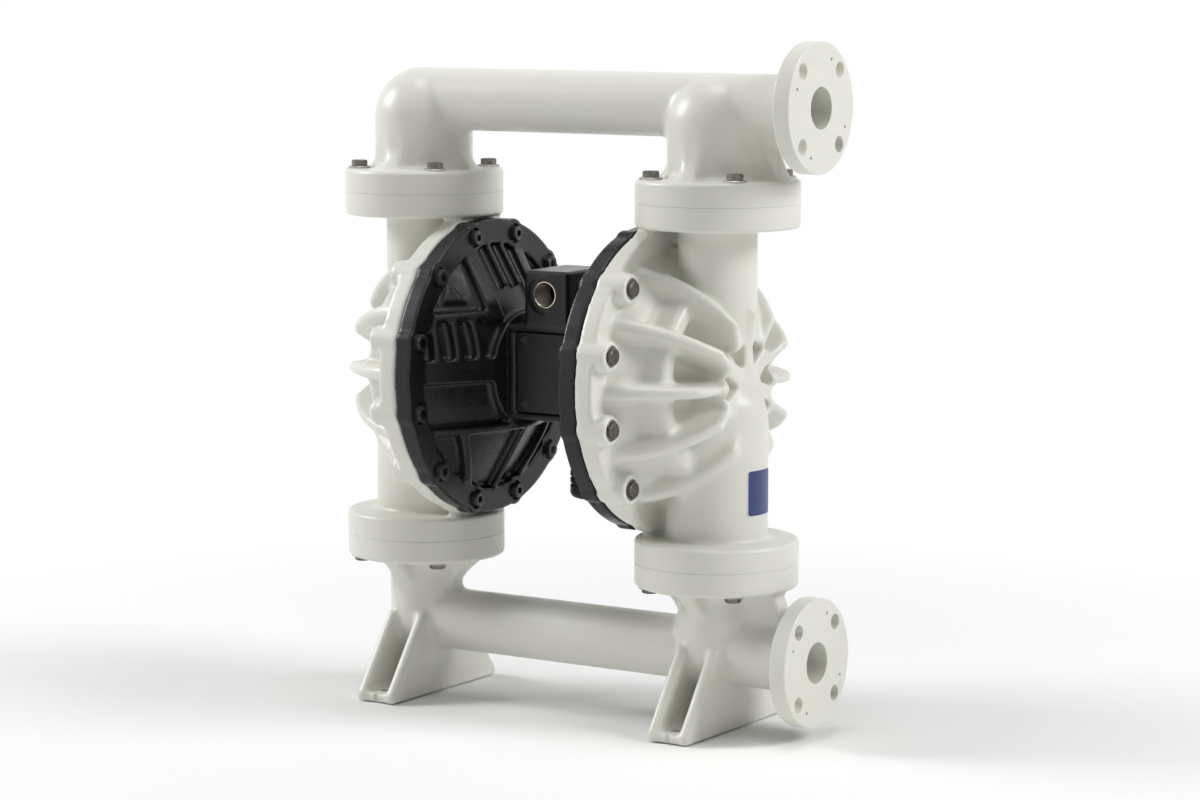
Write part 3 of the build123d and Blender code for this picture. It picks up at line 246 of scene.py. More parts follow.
def skinTree(voxel, shifts):
    # grows and shrinks a closed mesh in turn, which rounds its inner and outer corners
    tree = bpy.data.node_groups.new("mouldedSkin", "GeometryNodeTree")
    for way in ("INPUT", "OUTPUT"):
        tree.interface.new_socket("Geometry", in_out=way, socket_type="NodeSocketGeometry")
    last = tree.nodes.new("NodeGroupInput").outputs[0]
    for shift in shifts:
        grid = tree.nodes.new("GeometryNodeMeshToSDFGrid")
        grid.inputs["Voxel Size"].default_value = voxel * mm
        grid.inputs["Band Width"].default_value = int(abs(shift) / voxel) + 3
        mesh = tree.nodes.new("GeometryNodeGridToMesh")
        mesh.inputs["Threshold"].default_value = shift * mm
        tree.links.new(last, grid.inputs["Mesh"])
        tree.links.new(grid.outputs[0], mesh.inputs["Grid"])
        last = mesh.outputs[0]
    tree.links.new(last, tree.nodes.new("NodeGroupOutput").inputs[0])
    return tree


def moulded(pieces, voxel, inner, outer, smooth=2):
    # one skin over all the pieces, with its inner and outer corners rounded
    body = joined(pieces)
    tree = skinTree(voxel * quality, (inner, -inner - outer, outer))
    body.modifiers.new("skin", "NODES").node_group = tree
    if smooth:
        modifier = body.modifiers.new("smooth", "SMOOTH")
        modifier.factor = 0.5
        modifier.iterations = smooth
    finish(body)
    bpy.data.node_groups.remove(tree)
    return body


def rounded(piece, width, steps=3, angle=30):
    modifier = piece.modifiers.new("bevel", "BEVEL")
    modifier.width = width * mm
    modifier.segments = steps
    modifier.limit_method = "ANGLE"
    modifier.angle_limit = math.radians(angle)
    return finish(piece)


def copied(piece, matrix):
    twin = piece.copy()
    twin.data = piece.data.copy()
    twin.data.transform(matrix)
    if matrix.determinant() < 0:
        twin.data.flip_normals()
    bpy.context.collection.objects.link(twin)
    return twin


def mirrored(piece):
    return copied(piece, Matrix.Scale(-1, 4, (1, 0, 0)))


def triangles(piece):
    piece.data.calc_loop_triangles()
    return len(piece.data.loop_triangles)


def lighten(piece):
    count = triangles(piece)
    if count > mostTriangles:
        modifier = piece.modifiers.new("lighten", "DECIMATE")
        modifier.ratio = mostTriangles / count
        finish(piece)


def dress(piece, look):
    piece.data.materials.clear()
    piece.data.materials.append(materials[look])


def place(piece, name, slot, body="pump_housing"):
    # stands for the node of the same name, in its slot's look unless it is dressed already
    node = "".join("_" + letter.lower() if letter.isupper() else letter for letter in name)
    lighten(piece)
    piece.name = name
    piece.data.name = name
    if not any(piece.data.materials):
        dress(piece, slotLooks[slot])
    pick(piece)
    bpy.ops.object.shade_smooth_by_angle(angle=math.radians(smoothAngle))
    # large flat faces keep their own shading beside small rounded edges
    piece.modifiers.new("evenShading", "WEIGHTED_NORMAL").keep_sharp = True
    finish(piece)
    if body:
        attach(piece, body)
    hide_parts(node)
    print(name, triangles(piece), "triangles")


def placePair(right, part, slot, body="pump_housing"):
    # the right piece and its mirror image
    lighten(right)
    pair = {"right": right, "left": mirrored(right)}
    for side, piece in pair.items():
        place(piece, side + part, slot, body)
    return pair


# Materials


def newGroup(name, inputs, outputs):
    # inputs: what each socket starts at, or None where a link feeds it
    group = bpy.data.node_groups.new(name, "ShaderNodeTree")
    kinds = {"Vector": "Vector", "Normal": "Vector", "Color": "Color"}
    for way, labels in (("INPUT", inputs), ("OUTPUT", outputs)):
        for label in labels:
            kind = "NodeSocket" + kinds.get(label.split()[0], "Float")
            socket = group.interface.new_socket(label, in_out=way, socket_type=kind)
            if way == "INPUT" and inputs[label] is not None:
                socket.default_value = inputs[label]
    return group, group.nodes.new("NodeGroupInput"), group.nodes.new("NodeGroupOutput")


def addNoise(tree, vector, scale, detail=3.0, rough=0.5):
    node = tree.nodes.new("ShaderNodeTexNoise")
    node.inputs["Detail"].default_value = detail
    node.inputs["Roughness"].default_value = rough
    tree.links.new(vector, node.inputs["Vector"])
    if isinstance(scale, float):
        node.inputs["Scale"].default_value = scale
    else:
        tree.links.new(scale, node.inputs["Scale"])
    return node


def addMix(tree, factor, a, b):
    node = tree.nodes.new("ShaderNodeMix")
    node.data_type = "RGBA"
    for value, socket in ((factor, node.inputs["Factor"]), (a, node.inputs[6]), (b, node.inputs[7])):
        if isinstance(value, bpy.types.NodeSocket):
            tree.links.new(value, socket)
        else:
            socket.default_value = value
    return node.outputs[2]


def addRange(tree, value, low, high, toLow, toHigh):
    node = tree.nodes.new("ShaderNodeMapRange")
    for socket, number in zip(node.inputs[1:5], (low, high, toLow, toHigh)):
        if isinstance(number, bpy.types.NodeSocket):
            tree.links.new(number, socket)
        else:
            socket.default_value = number
    tree.links.new(value, node.inputs[0])
    return node.outputs[0]


def addMath(tree, operation, a, b):
    node = tree.nodes.new("ShaderNodeMath")
    node.operation = operation
    tree.links.new(a, node.inputs[0])
    tree.links.new(b, node.inputs[1])
    return node.outputs[0]


def makeMottle():
    # slow cloudy change of colour and gloss over a surface
    group, start, end = newGroup(
        "mottle",
        {
            "Vector": None,
            "Color A": None,
            "Color B": None,
            "Scale": 12.0,
            "Rough Low": 0.35,
            "Rough High": 0.45,
        },
        ("Color", "Roughness"),
    )
    vector, colorA, colorB, scale, low, high = start.outputs[:6]
    cloud = addNoise(group, vector, scale, 4.0, 0.55)
    share = addRange(group, cloud.outputs["Fac"], 0.35, 0.65, 0.0, 1.0)
    group.links.new(addMix(group, share, colorA, colorB), end.inputs["Color"])
    fine = addNoise(group, vector, 90.0, 2.0)
    rough = addRange(group, fine.outputs["Fac"], 0.3, 0.7, low, high)
    group.links.new(rough, end.inputs["Roughness"])
    return group


def makeGrain():
    # fine surface texture as a normal: a cast or moulded skin
    group, start, end = newGroup(
        "grain",
        {
            "Vector": None,
            "Fine Scale": 1400.0,
            "Fine Depth": 0.00002,
            "Wave Scale": 60.0,
            "Wave Depth": 0.0001,
        },
        ("Normal",),
    )
    vector, fineScale, fineDepth, waveScale, waveDepth = start.outputs[:5]
    last = None
    for scale, depth in ((waveScale, waveDepth), (fineScale, fineDepth)):
        noise = addNoise(group, vector, scale, 2.0)
        bump = group.nodes.new("ShaderNodeBump")
        bump.inputs["Strength"].default_value = 1.0
        group.links.new(depth, bump.inputs["Distance"])
        group.links.new(noise.outputs["Fac"], bump.inputs["Height"])
        if last is not None:
            group.links.new(last, bump.inputs["Normal"])
        last = bump.outputs[0]
    group.links.new(last, end.inputs["Normal"])
    return group


def makeWearAndHighlight():
    # 1 on outer edges and 0 elsewhere, broken up by noise: the lighter edges are wear on the steel looks
    # and a painted highlight on the black coat
    inputs = {"Vector": None, "Low": 0.52, "High": 0.6, "Break Up": 0.5}
    group, start, end = newGroup("edgeWearAndHighlight", inputs, ("Mask",))
    vector, low, high, broken = start.outputs[:4]
    geometry = group.nodes.new("ShaderNodeNewGeometry")
    edge = addRange(group, geometry.outputs["Pointiness"], low, high, 0.0, 1.0)
    noise = addNoise(group, vector, 160.0, 4.0, 0.6)
    spots = addRange(group, noise.outputs["Fac"], 0.35, 0.65, 0.0, 1.0)
    mix = group.nodes.new("ShaderNodeMix")
    mix.inputs[2].default_value = 1.0
    group.links.new(broken, mix.inputs[0])
    group.links.new(spots, mix.inputs[3])
    group.links.new(addMath(group, "MULTIPLY", edge, mix.outputs[0]), end.inputs["Mask"])
    return group


mottle = makeMottle()
grain = makeGrain()
edgeWearAndHighlight = makeWearAndHighlight()


def addGroup(tree, group, vector, *values):
    # values in the order of the group's named inputs
    node = tree.nodes.new("ShaderNodeGroup")
    node.node_tree = group
    tree.links.new(vector, node.inputs["Vector"])
    for socket, value in zip(node.inputs[1:], values):
        socket.default_value = value
    return node


def surface(name, look):
    # grain is a scale and a depth in mm, fine and then wavy
    # the range of the lighter edges is low, high and break up; they are wear on the steel and a painted
    # highlight on the black coat
    material = bpy.data.materials.new(name)
    material.use_nodes = True
    tree = material.node_tree
    shader = tree.nodes["Principled BSDF"]
    vector = tree.nodes.new("ShaderNodeTexCoord").outputs["Object"]
    colors = [(*color, 1) for color in look["colors"]]
    base = addGroup(tree, mottle, vector, *colors, look["scale"], *look["rough"])
    color = base.outputs["Color"]
    # lighter outer edges: wear on the steel looks, a painted highlight on the black coat
    if "worn" in look:
        mask = addGroup(tree, edgeWearAndHighlight, vector, *look["wornRange"]).outputs["Mask"]
        color = addMix(tree, mask, color, (*look["worn"], 1))
    tree.links.new(color, shader.inputs["Base Color"])
    tree.links.new(base.outputs["Roughness"], shader.inputs["Roughness"])
    fineScale, fineDepth, waveScale, waveDepth = look["grain"]
    skin = addGroup(tree, grain, vector, fineScale, fineDepth * mm, waveScale, waveDepth * mm)
    tree.links.new(skin.outputs["Normal"], shader.inputs["Normal"])
    for label, value in look.get("shader", {}).items():
        shader.inputs[label].default_value = value
    return material


looks = {
    "naturalPlastic": {
        "colors": ((0.775, 0.773, 0.715), (0.755, 0.748, 0.678)),
        "scale": 9.0,
        "rough": (0.3, 0.38),
        "grain": (900.0, 0.012, 45.0, 0.12),
        "shader": {
            "Subsurface Weight": 0.2,
            "Subsurface Radius": (1.0, 1.0, 0.75),
            "Subsurface Scale": 0.006,
            "Specular IOR Level": 0.5,
        },
    },
    "blackCoat": {
        "colors": ((0.0095, 0.0095, 0.0105), (0.014, 0.014, 0.0155)),
        "scale": 26.0,
        "rough": (0.24, 0.34),
        "grain": (620.0, 0.002, 70.0, 0.06),
        # the lighter outer edges here are a painted highlight, the shine of the coat's edges
        "worn": (0.085, 0.085, 0.092),
        "wornRange": (0.57, 0.72, 0.2),
        "shader": {"Specular IOR Level": 0.32},
    },
    "blackMuffler": {
        "colors": ((0.018, 0.018, 0.019), (0.026, 0.026, 0.027)),
        "scale": 30.0,
        "rough": (0.5, 0.66),
        "grain": (420.0, 0.12, 60.0, 0.2),
    },
    "darkSteel": {
        "colors": ((0.105, 0.098, 0.088), (0.16, 0.15, 0.135)),
        "scale": 130.0,
        "rough": (0.32, 0.5),
        "grain": (900.0, 0.03, 200.0, 0.05),
        "worn": (0.42, 0.4, 0.37),
        "wornRange": (0.53, 0.62, 0.4),
        "shader": {"Metallic": 0.85},
    },
    "blackSteel": {
        "colors": ((0.03, 0.03, 0.032), (0.05, 0.05, 0.052)),
        "scale": 120.0,
        "rough": (0.3, 0.44),
        "grain": (900.0, 0.02, 200.0, 0.04),
        "worn": (0.2, 0.2, 0.2),
        "wornRange": (0.53, 0.62, 0.4),
        "shader": {"Metallic": 0.6},
    },
    "washerSteel": {
        "colors": ((0.34, 0.33, 0.3), (0.46, 0.45, 0.42)),
        "scale": 150.0,
        "rough": (0.3, 0.46),
        "grain": (900.0, 0.02, 200.0, 0.04),
        "shader": {"Metallic": 0.9},
    },
    "brightNickel": {
        "colors": ((0.66, 0.58, 0.47), (0.74, 0.67, 0.57)),
        "scale": 90.0,
        "rough": (0.16, 0.28),
        "grain": (900.0, 0.008, 200.0, 0.02),
        "shader": {"Metallic": 1.0},
    },
    # the same nickel inside the thread, darkened: painted shade in the bore
    "threadNickelPaintedShade": {
        "colors": ((0.1, 0.082, 0.066), (0.17, 0.145, 0.12)),
        "scale": 90.0,
        "rough": (0.34, 0.46),
        "grain": (900.0, 0.008, 200.0, 0.02),
        "shader": {"Metallic": 0.9},
    },
    "groundSteel": {
        "colors": ((0.5, 0.5, 0.51), (0.6, 0.6, 0.61)),
        "scale": 80.0,
        "rough": (0.2, 0.32),
        "grain": (1200.0, 0.006, 300.0, 0.01),
        "shader": {"Metallic": 1.0},
    },
    "machinedAluminium": {
        "colors": ((0.62, 0.62, 0.63), (0.7, 0.7, 0.71)),
        "scale": 60.0,
        "rough": (0.28, 0.4),
        "grain": (1000.0, 0.012, 200.0, 0.02),
        "shader": {"Metallic": 1.0},
    },
    "brassMetal": {
        "colors": ((0.6, 0.42, 0.16), (0.68, 0.5, 0.22)),
        "scale": 90.0,
        "rough": (0.24, 0.36),
        "grain": (1000.0, 0.01, 200.0, 0.02),
        "shader": {"Metallic": 1.0},
    },
    "blackRubber": {
        "colors": ((0.016, 0.016, 0.016), (0.024, 0.024, 0.024)),
        "scale": 40.0,
        "rough": (0.55, 0.7),
        "grain": (800.0, 0.02, 120.0, 0.05),
    },
    "whiteAcetal": {
        "colors": ((0.8, 0.8, 0.78), (0.86, 0.86, 0.84)),
        "scale": 40.0,
        "rough": (0.32, 0.42),
        "grain": (1000.0, 0.006, 120.0, 0.02),
        "shader": {"Subsurface Weight": 0.15, "Subsurface Scale": 0.004},
    },
    "blueFilm": {
        "colors": ((0.024, 0.04, 0.155), (0.027, 0.045, 0.17)),
        "scale": 50.0,
        "rough": (0.3, 0.38),
        "grain": (1500.0, 0.004, 100.0, 0.01),
    },
}
materials = {name: surface(name, look) for name, look in looks.items()}
slotLooks = {
    "white_polypropylene": "naturalPlastic",
    "black_casting": "blackCoat",
    "black_muffler": "blackMuffler",
    "nickel_bushing": "brightNickel",
    "dark_bolts": "darkSteel",
    "dark_washers": "washerSteel",
    "brass_inserts": "brassMetal",
    "steel_screws": "darkSteel",
    "rubber_gaskets": "blackRubber",
    "rubber_seals": "blackRubber",
    "rubber_diaphragm": "blackRubber",
    "rubber_balls": "blackRubber",
    "white_seats": "whiteAcetal",
    "acetal_bushes": "whiteAcetal",
    "steel_shaft": "groundSteel",
    "aluminium_plates": "machinedAluminium",
    "polypropylene_plates": "naturalPlastic",
    "blue_plate": "blueFilm",
}
nodeLooks = {"air_valve_screws": "blackCoat"}
for subpart in frame["record"]["subparts"]:
    node = frame["nodes"][subpart["node"]]
    for materialSlot in node.material_slots:
        materialSlot.link = "OBJECT"
        look = nodeLooks.get(subpart["node"], slotLooks[subpart["material_slot"]])
        materialSlot.material = materials[look]
print("materials made")


# Joint discs, flanges and other crisp round forms of the white mouldings

disc = {"radius": 97.2, "thick": 28.5, "seamEdge": 0.6, "freeEdge": 5.0, "boltCircle": 80.4}
flange = {
    "radius": 76.2,
    "thick": 21.0,
    "edge": 1.6,
    "bore": 24.5,
    "boltCircle": 60.325,
    "boltHole": 9.5,
    "pinHole": 2.0,
    "pinDepth": 8.0,
    "hub": 46.0,
    "hubLength": 14.0,
}


def jointDisc(x, seam, side):
    # side is 1 for the half above the seam and -1 for the one below
    r = disc["radius"]
    small, large = disc["seamEdge"], disc["freeEdge"]
    quarter = arc((r - large, disc["thick"] - large), large, 0, 90, 8)
    profile = [(0, 0), (r - small, 0), (r, small), *quarter, (0, disc["thick"])]
    return turnedZ([(radius, seam + side * z) for radius, z in profile], x)


def jointDiscs(seam, side):
    return [jointDisc(x, seam, side) for x in columns]


def seatRoom(x, seam):
    return rodZ(x, 0, seam - cage["seatDepth"], seam + 6, cage["seatBore"])


def portFlange(z):
    r, edge = flange["radius"], flange["edge"]
    back = portX - flange["thick"]
    rim = arc((portX - edge, r - edge), edge, 0, 90, 5)
    rear = arc((back + edge, r - edge), edge, 90, 180, 5)
    return turnedX([(portX, 0), *rim, *rear, (back, 0)], z)


def portHub(z, pipe):
    # the pipe swells towards the flange
    back = portX - flange["thick"]
    return rodX(back - flange["hubLength"], back + 4, 0, z, pipe, flange["hub"])


def flangeHoles(z):
    thick, end = flange["thick"], portX + overrun
    holes = [rodX(portX - thick - 30, end, 0, z, flange["bore"])]
    bolts = arc((0, z), flange["boltCircle"], 45, 315, 3)
    pins = arc((0, z), flange["boltCircle"], 67.5, 337.5, 3)
    for bolt, pin in zip(bolts, pins):
        holes.append(rodX(portX - (thick + 3), end, *bolt, flange["boltHole"], sides=48))
        holes.append(rodX(portX - flange["pinDepth"], end, *pin, flange["pinHole"], sides=48))
    return holes


def jointBoltPlaces():
    return [spot for x in columns for spot in arc((x, 0), disc["boltCircle"], 45, 315, 3)]


def jointRods(start, end, radius, sides=96):
    # an upright rod at each joint bolt
    return [rodZ(x, y, start, end, radius, sides=sides) for x, y in jointBoltPlaces()]


# Outlet manifold

elbow = {
    "radius": 60.0,
    "domeZ": 716.0,
    "pipe": 38.0,
    "skirt": 65.0,
    "skirtHeight": 9.0,
    "relief": 14.8,
    "inner": 7.0,
}
# upright fins between the joint bolts, with a larger one towards the flange
elbowFin = {"half": 12.0, "root": 60.0, "foot": 79.0, "rise": 42.0, "bow": 3.0}
elbowPortFin = {"half": 13.0, "root": 68.0, "foot": 95.0, "rise": 62.0, "bow": 1.2}


def fin(x, face, way, spec, angle):
    # stands on a disc's face and runs into the elbow or neck away from it
    steps = 10
    edge = []
    for i in range(steps + 1):
        share = i / steps
        r = spec["root"] + (spec["foot"] - spec["root"]) * (1 - share) ** spec["bow"]
        edge.append((r, face + way * (spec["rise"] * share - 1)))
    edge += [(30, edge[-1][1]), (30, edge[0][1])]
    half = spec["half"]
    piece = prism([(r, -half, z) for r, z in edge], (0, 2 * half, 0))
    turn = Matrix.Rotation(math.radians(angle), 4, "Z")
    piece.data.transform(Matrix.Translation((x * mm, 0, 0)) @ turn)
    return piece


def fins(face, way, spec, portSpec):
    for x in columns:
        for angle in (0, 90, 180, 270):
            yield fin(x, face, way, portSpec if x > 0 and angle == 0 else spec, angle)


def makeOutletManifold():
    top = upperSeam + disc["thick"]
    dome, pipe = elbow["domeZ"], elbow["pipe"]
    solids = [rodX(-columnX, portX - 10, 0, outletZ, pipe)]
    for x in columns:
        solids.append(rodZ(x, 0, top - 8, dome, elbow["radius"]))
        solids.append(ball((x, 0, dome), elbow["radius"]))
        solids.append(rodZ(x, 0, top - 0.5, top + elbow["skirtHeight"], elbow["skirt"], elbow["radius"]))
    solids.append(portHub(outletZ, pipe))
    solids += fins(top, 1, elbowFin, elbowPortFin)
    body = moulded(solids, voxel=2.5, inner=elbow["inner"], outer=0.5)
    cut(body, jointRods(top, top + 60, elbow["relief"]))
    body = moulded([body, *jointDiscs(upperSeam, 1)], voxel=2.5, inner=4.0, outer=1.2)
    fused(body, [*jointDiscs(upperSeam, 1), portFlange(outletZ)])
    hollow = [rodZ(x, 0, upperSeam - overrun, dome, cage["bore"]) for x in columns]
    hollow += [ball((x, 0, dome), cage["bore"]) for x in columns]
    hollow.append(rodX(-columnX, portX - 5, 0, outletZ, flange["bore"]))
    hollow += jointRods(upperSeam - overrun, top + overrun, boltBore, 32)
    cut(body, hollow + flangeHoles(outletZ))
    place(body, "outletManifold", "white_polypropylene")


makeOutletManifold()


# Inlet manifold: necks, cross tube and feet

neck = {
    "radius": 45.0,
    "flare": 54.0,
    "flareHeight": 18.0,
    "pipe": 38.0,
    "relief": 14.8,
    "bore": 30.0,
    "inner": 6.0,
}
neckFin = {"half": 12.0, "root": 44.0, "foot": 84.0, "rise": 40.0, "bow": 1.4}
neckPortFin = {"half": 13.0, "root": 100.0, "foot": 84.0, "rise": 58.0, "bow": 2.0}
foot = {
    "length": 224.0,
    "toe": 10.0,
    "topLength": 90.0,
    "top": 104.0,
    "width": 57.0,
    "plate": 14.0,
    "web": 12.0,
    "webSetback": 2.0,
    "boltPitch": 176.0,
    "boltHole": 7.0,
    "notch": 3.6,
    "edge": 4.0,
}


def footSolids(x):
    half, topHalf = foot["length"] / 2, foot["topLength"] / 2
    side = [(-half, 0), (half, 0), (half, foot["toe"]), (topHalf, foot["top"])]
    side += [(-topHalf, foot["top"]), (-half, foot["toe"])]
    solids = []
    halfWidth, plate = foot["width"] / 2, foot["plate"]
    for plateX in (x - halfWidth, x + halfWidth - plate):
        solids.append(prism([(plateX, y, z) for y, z in side], (plate, 0, 0)))
    webHalf = half - foot["webSetback"]
    low = (x - halfWidth + plate / 2, -webHalf, 0)
    solids.append(block(low, (x + halfWidth - plate / 2, webHalf, foot["web"])))
    return solids


def neckFlare(x, bottom):
    # the neck widens towards the disc
    low, steps = bottom - neck["flareHeight"], 8
    flare = []
    for i in range(steps + 1):
        share = i / steps
        r = neck["radius"] + (neck["flare"] - neck["radius"]) * share**1.7
        flare.append((r, low + neck["flareHeight"] * share))
    return turnedZ([(0, low), *flare, (neck["flare"], bottom + 2), (0, bottom + 2)], x)


def makeInletManifold():
    bottom = lowerSeam - disc["thick"]
    solids = [rodX(-columnX, portX - 10, 0, inletZ, neck["pipe"])]
    for x in columns:
        solids.append(rodZ(x, 0, inletZ, bottom + 8, neck["radius"]))
        solids.append(ball((x, 0, inletZ), neck["radius"]))
        solids.append(neckFlare(x, bottom))
    solids.append(portHub(inletZ, neck["pipe"]))
    solids += fins(bottom, -1, neckFin, neckPortFin)
    body = moulded(solids, voxel=2.5, inner=neck["inner"], outer=0.5)
    cut(body, jointRods(bottom - 40, bottom, neck["relief"]))
    feet = footSolids(-columnX) + footSolids(columnX)
    for piece in feet:
        rounded(piece, foot["edge"], 3)
    solids = [body, *feet, *jointDiscs(lowerSeam, -1)]
    body = moulded(solids, voxel=2.3, inner=3.5, outer=1.2)
    fused(body, [*jointDiscs(lowerSeam, -1), portFlange(inletZ)])
    hollow = [block((-400, -200, -20), (400, 200, 0))]  # trims the soles flat
    holeTop = foot["web"] + 20
    half = foot["boltPitch"] / 2
    end = foot["length"] / 2 - foot["webSetback"]
    for x in columns:
        hollow.append(rodZ(x, 0, inletZ, lowerSeam + overrun, neck["bore"]))
        hollow.append(ball((x, 0, inletZ), neck["bore"]))
        hollow.append(seatRoom(x, lowerSeam))
        for y, radius in (
            (-half, foot["boltHole"]),
            (half, foot["boltHole"]),
            (-end, foot["notch"]),
            (end, foot["notch"]),
        ):
            hollow.append(rodZ(x, y, -overrun, holeTop, radius, sides=48))
    hollow.append(rodX(-columnX, portX - 5, 0, inletZ, flange["bore"]))
    hollow += jointRods(bottom - overrun, lowerSeam + overrun, boltBore, 32)
    cut(body, hollow + flangeHoles(inletZ))
    place(body, "inletManifold", "white_polypropylene")


# Fluid covers: bowl, ribs, ring, hub and the two columns

fluid = {
    "rim": 180.0,
    "rimThick": 24.0,
    "bowlRim": 152.0,
    "bowlDepth": 69.0,
    "wall": 10.0,
    "boss": 18.0,
    "bossHeight": 39.5,
    "boltSeat": 35.5,
    "boltCircle": 165.2,
    "bolts": (15, 45, 135, 165, 195, 225, 315, 345),
    "screws": (75, 105, 255, 285),
    "counterbore": 12.7,
    "ribTip": 12.5,
    "ribDraft": 2.0,
    "ribAngles": (0, 30, 60, 90, 120, 150, 180, 210, 240, 300, 330),
    "crestX": 130.0,
    "crest": 160.0,
    "shoulder": 86.0,
    "ribInner": 45.0,
    "ribHubX": 258.0,
    "ring": 108.5,
    "ringWidth": 24.0,
    "ringX": 213.0,
    "hub": 56.0,
    "hubX": 256.0,
    "pockets": (10, 68, 122, 180, 313),
    "pocketPlace": 41.0,
    "pocketSize": 19.0,
    "pocketDepth": 20.0,
    "upperColumn": 47.0,
    "lowerColumn": 60.75,
    "lowerColumnTop": 412.0,
    "lowerColumnRound": 28.0,
    "cageTop": 372.0,
    "outletBore": 30.0,
    "outletFrom": 440.0,
    "screwBore": 5.0,
}


def turnAbout(angle):
    # a turn about the shaft's line
    middle = Vector((0, 0, coverZ * mm))
    turn = Matrix.Rotation(math.radians(angle), 4, "X")
    return Matrix.Translation(middle) @ turn @ Matrix.Translation(-middle)


def onRim(angle, radius=None):
    radius = fluid["boltCircle"] if radius is None else radius
    a = math.radians(angle)
    return radius * math.cos(a), coverZ + radius * math.sin(a)


def rimRod(angle, start, end, radius, sides=96):
    # along the shaft's direction at a bolt's place on the rim
    return rodX(start, end, *onRim(angle), radius, sides=sides)


def bowlNumbers():
    radius = (fluid["bowlRim"] ** 2 + fluid["bowlDepth"] ** 2) / (2 * fluid["bowlDepth"])
    return radius, rimPlaneX + fluid["rimThick"] + fluid["bowlDepth"] - radius


def coverRib():
    # the rib that points along +Y
    bowl, bowlX = bowlNumbers()
    crest = fluid["crest"]
    first = math.degrees(math.asin(fluid["shoulder"] / crest))
    last = math.degrees(math.acos((rimPlaneX + fluid["rimThick"] - fluid["crestX"]) / crest))
    points = arc((fluid["crestX"], 0), crest, first, last, 28)
    points += [(rimPlaneX + 12, fluid["bowlRim"]), (bowlX + bowl - fluid["wall"], fluid["ribInner"])]
    points.append((fluid["ribHubX"], fluid["ribInner"]))
    half = fluid["ribTip"] / 2
    rib = prism([(x, r, coverZ - half) for x, r in points], (0, 0, 2 * half))
    slope = math.tan(math.radians(fluid["ribDraft"]))
    for vertex in rib.data.vertices:
        side = math.copysign(1, vertex.co.z - coverZ * mm)
        vertex.co.z += side * (fluid["ribHubX"] * mm - vertex.co.x) * slope
    return rib


def hubPocket(angle):
    # a triangle with one corner towards the hub's middle
    middle = onRim(angle, fluid["pocketPlace"])
    corners = arc(middle, fluid["pocketSize"], angle + 180, angle + 420, 2)
    top = fluid["ribHubX"] + 20
    return prism([(top, y, z) for y, z in corners], (-20 - fluid["pocketDepth"], 0, 0))


def coverDiscs():
    return [jointDisc(columnX, lowerSeam, 1), jointDisc(columnX, upperSeam, -1)]


def coverSolids(rimX):
    # bowl, ribs, ring, hub and columns, before their edges are rounded
    bowl, bowlX = bowlNumbers()
    rimAngle = math.degrees(math.asin(fluid["bowlRim"] / bowl))
    dome = arc((bowlX, 0), bowl, rimAngle, 0, 40)
    shell = turnedX([(rimX - 14, 0), (rimX - 14, fluid["bowlRim"]), *dome])
    rib = coverRib()
    solids = [shell, *[copied(rib, turnAbout(angle)) for angle in fluid["ribAngles"]]]
    bpy.data.objects.remove(rib)
    inner, outer = fluid["ring"] - fluid["ringWidth"] / 2, fluid["ring"] + fluid["ringWidth"] / 2
    ringX = fluid["ringX"]
    spill = (ringX - rimX) * math.tan(math.radians(fluid["ribDraft"]))
    solids.append(turnedX([(rimX, inner - spill), (ringX, inner), (ringX, outer), (rimX, outer + spill)]))
    solids.append(rodX(rimX, fluid["hubX"], 0, coverZ, fluid["hub"]))
    upperDisc = upperSeam - disc["thick"]
    lowerDisc = lowerSeam + disc["thick"]
    top, bend = fluid["lowerColumnTop"], fluid["lowerColumnRound"]
    column = fluid["lowerColumn"]
    shoulder = arc((column - bend, top - bend), bend, 0, 90, 10)
    solids.append(rodZ(columnX, 0, coverZ, upperDisc + 8, fluid["upperColumn"]))
    solids.append(turnedZ([(0, lowerDisc - 8), (column, lowerDisc - 8), *shoulder, (0, top)], columnX))
    return solids


def coverHollow():
    # the chamber, the ball cages and the bolt holes
    bowl, bowlX = bowlNumbers()
    chamber = bowl - fluid["wall"]
    bend = clamp["bend"]
    inside = arc((bowlX, 0), chamber, math.degrees(math.asin(bend / chamber)), 0, 40)
    low, top = rimPlaneX - overrun, rimPlaneX + fluid["bossHeight"] + overrun
    hollow = [turnedX([(low, 0), (low, bend), (rimPlaneX + 1, bend), *inside])]
    hollow.append(rodX(low, rimPlaneX + 2, 0, coverZ, clamp["rim"]))
    hollow.append(rodZ(columnX, 0, lowerSeam - overrun, fluid["cageTop"], cage["bore"]))
    hollow.append(rodZ(columnX, 0, fluid["outletFrom"], upperSeam + overrun, fluid["outletBore"]))
    hollow.append(seatRoom(columnX, upperSeam))
    for angle in fluid["bolts"]:
        hollow.append(rimRod(angle, low, top, boltBore, 32))
        hollow.append(rimRod(angle, rimPlaneX + fluid["boltSeat"], top, fluid["counterbore"], 64))
    for angle in fluid["screws"]:
        hollow.append(rimRod(angle, low, rimPlaneX + 18, fluid["screwBore"], 32))
    return hollow


def makeFluidCovers():
    rimX = rimPlaneX + fluid["rimThick"]
    body = moulded(coverSolids(rimX), voxel=2.2, inner=3.0, outer=5.5)
    cut(body, [hubPocket(angle) for angle in fluid["pockets"]])
    extras = [turnedX([(rimPlaneX, 0), (rimPlaneX, fluid["rim"]), (rimX, fluid["rim"]), (rimX, 0)])]
    bossTop = rimPlaneX + fluid["bossHeight"]
    extras += [rimRod(angle, rimPlaneX, bossTop, fluid["boss"]) for angle in fluid["bolts"]]
    extras += [rimRod(angle, rimPlaneX, rimX, fluid["boss"]) for angle in fluid["screws"]]
    body = moulded([body, *extras, *coverDiscs()], voxel=2.0, inner=2.8, outer=2.0)
    fused(body, coverDiscs())
    cut(body, coverHollow())
    placePair(body, "FluidCover", "white_polypropylene")


# Air covers: a ribbed cone from the rim in to the hub

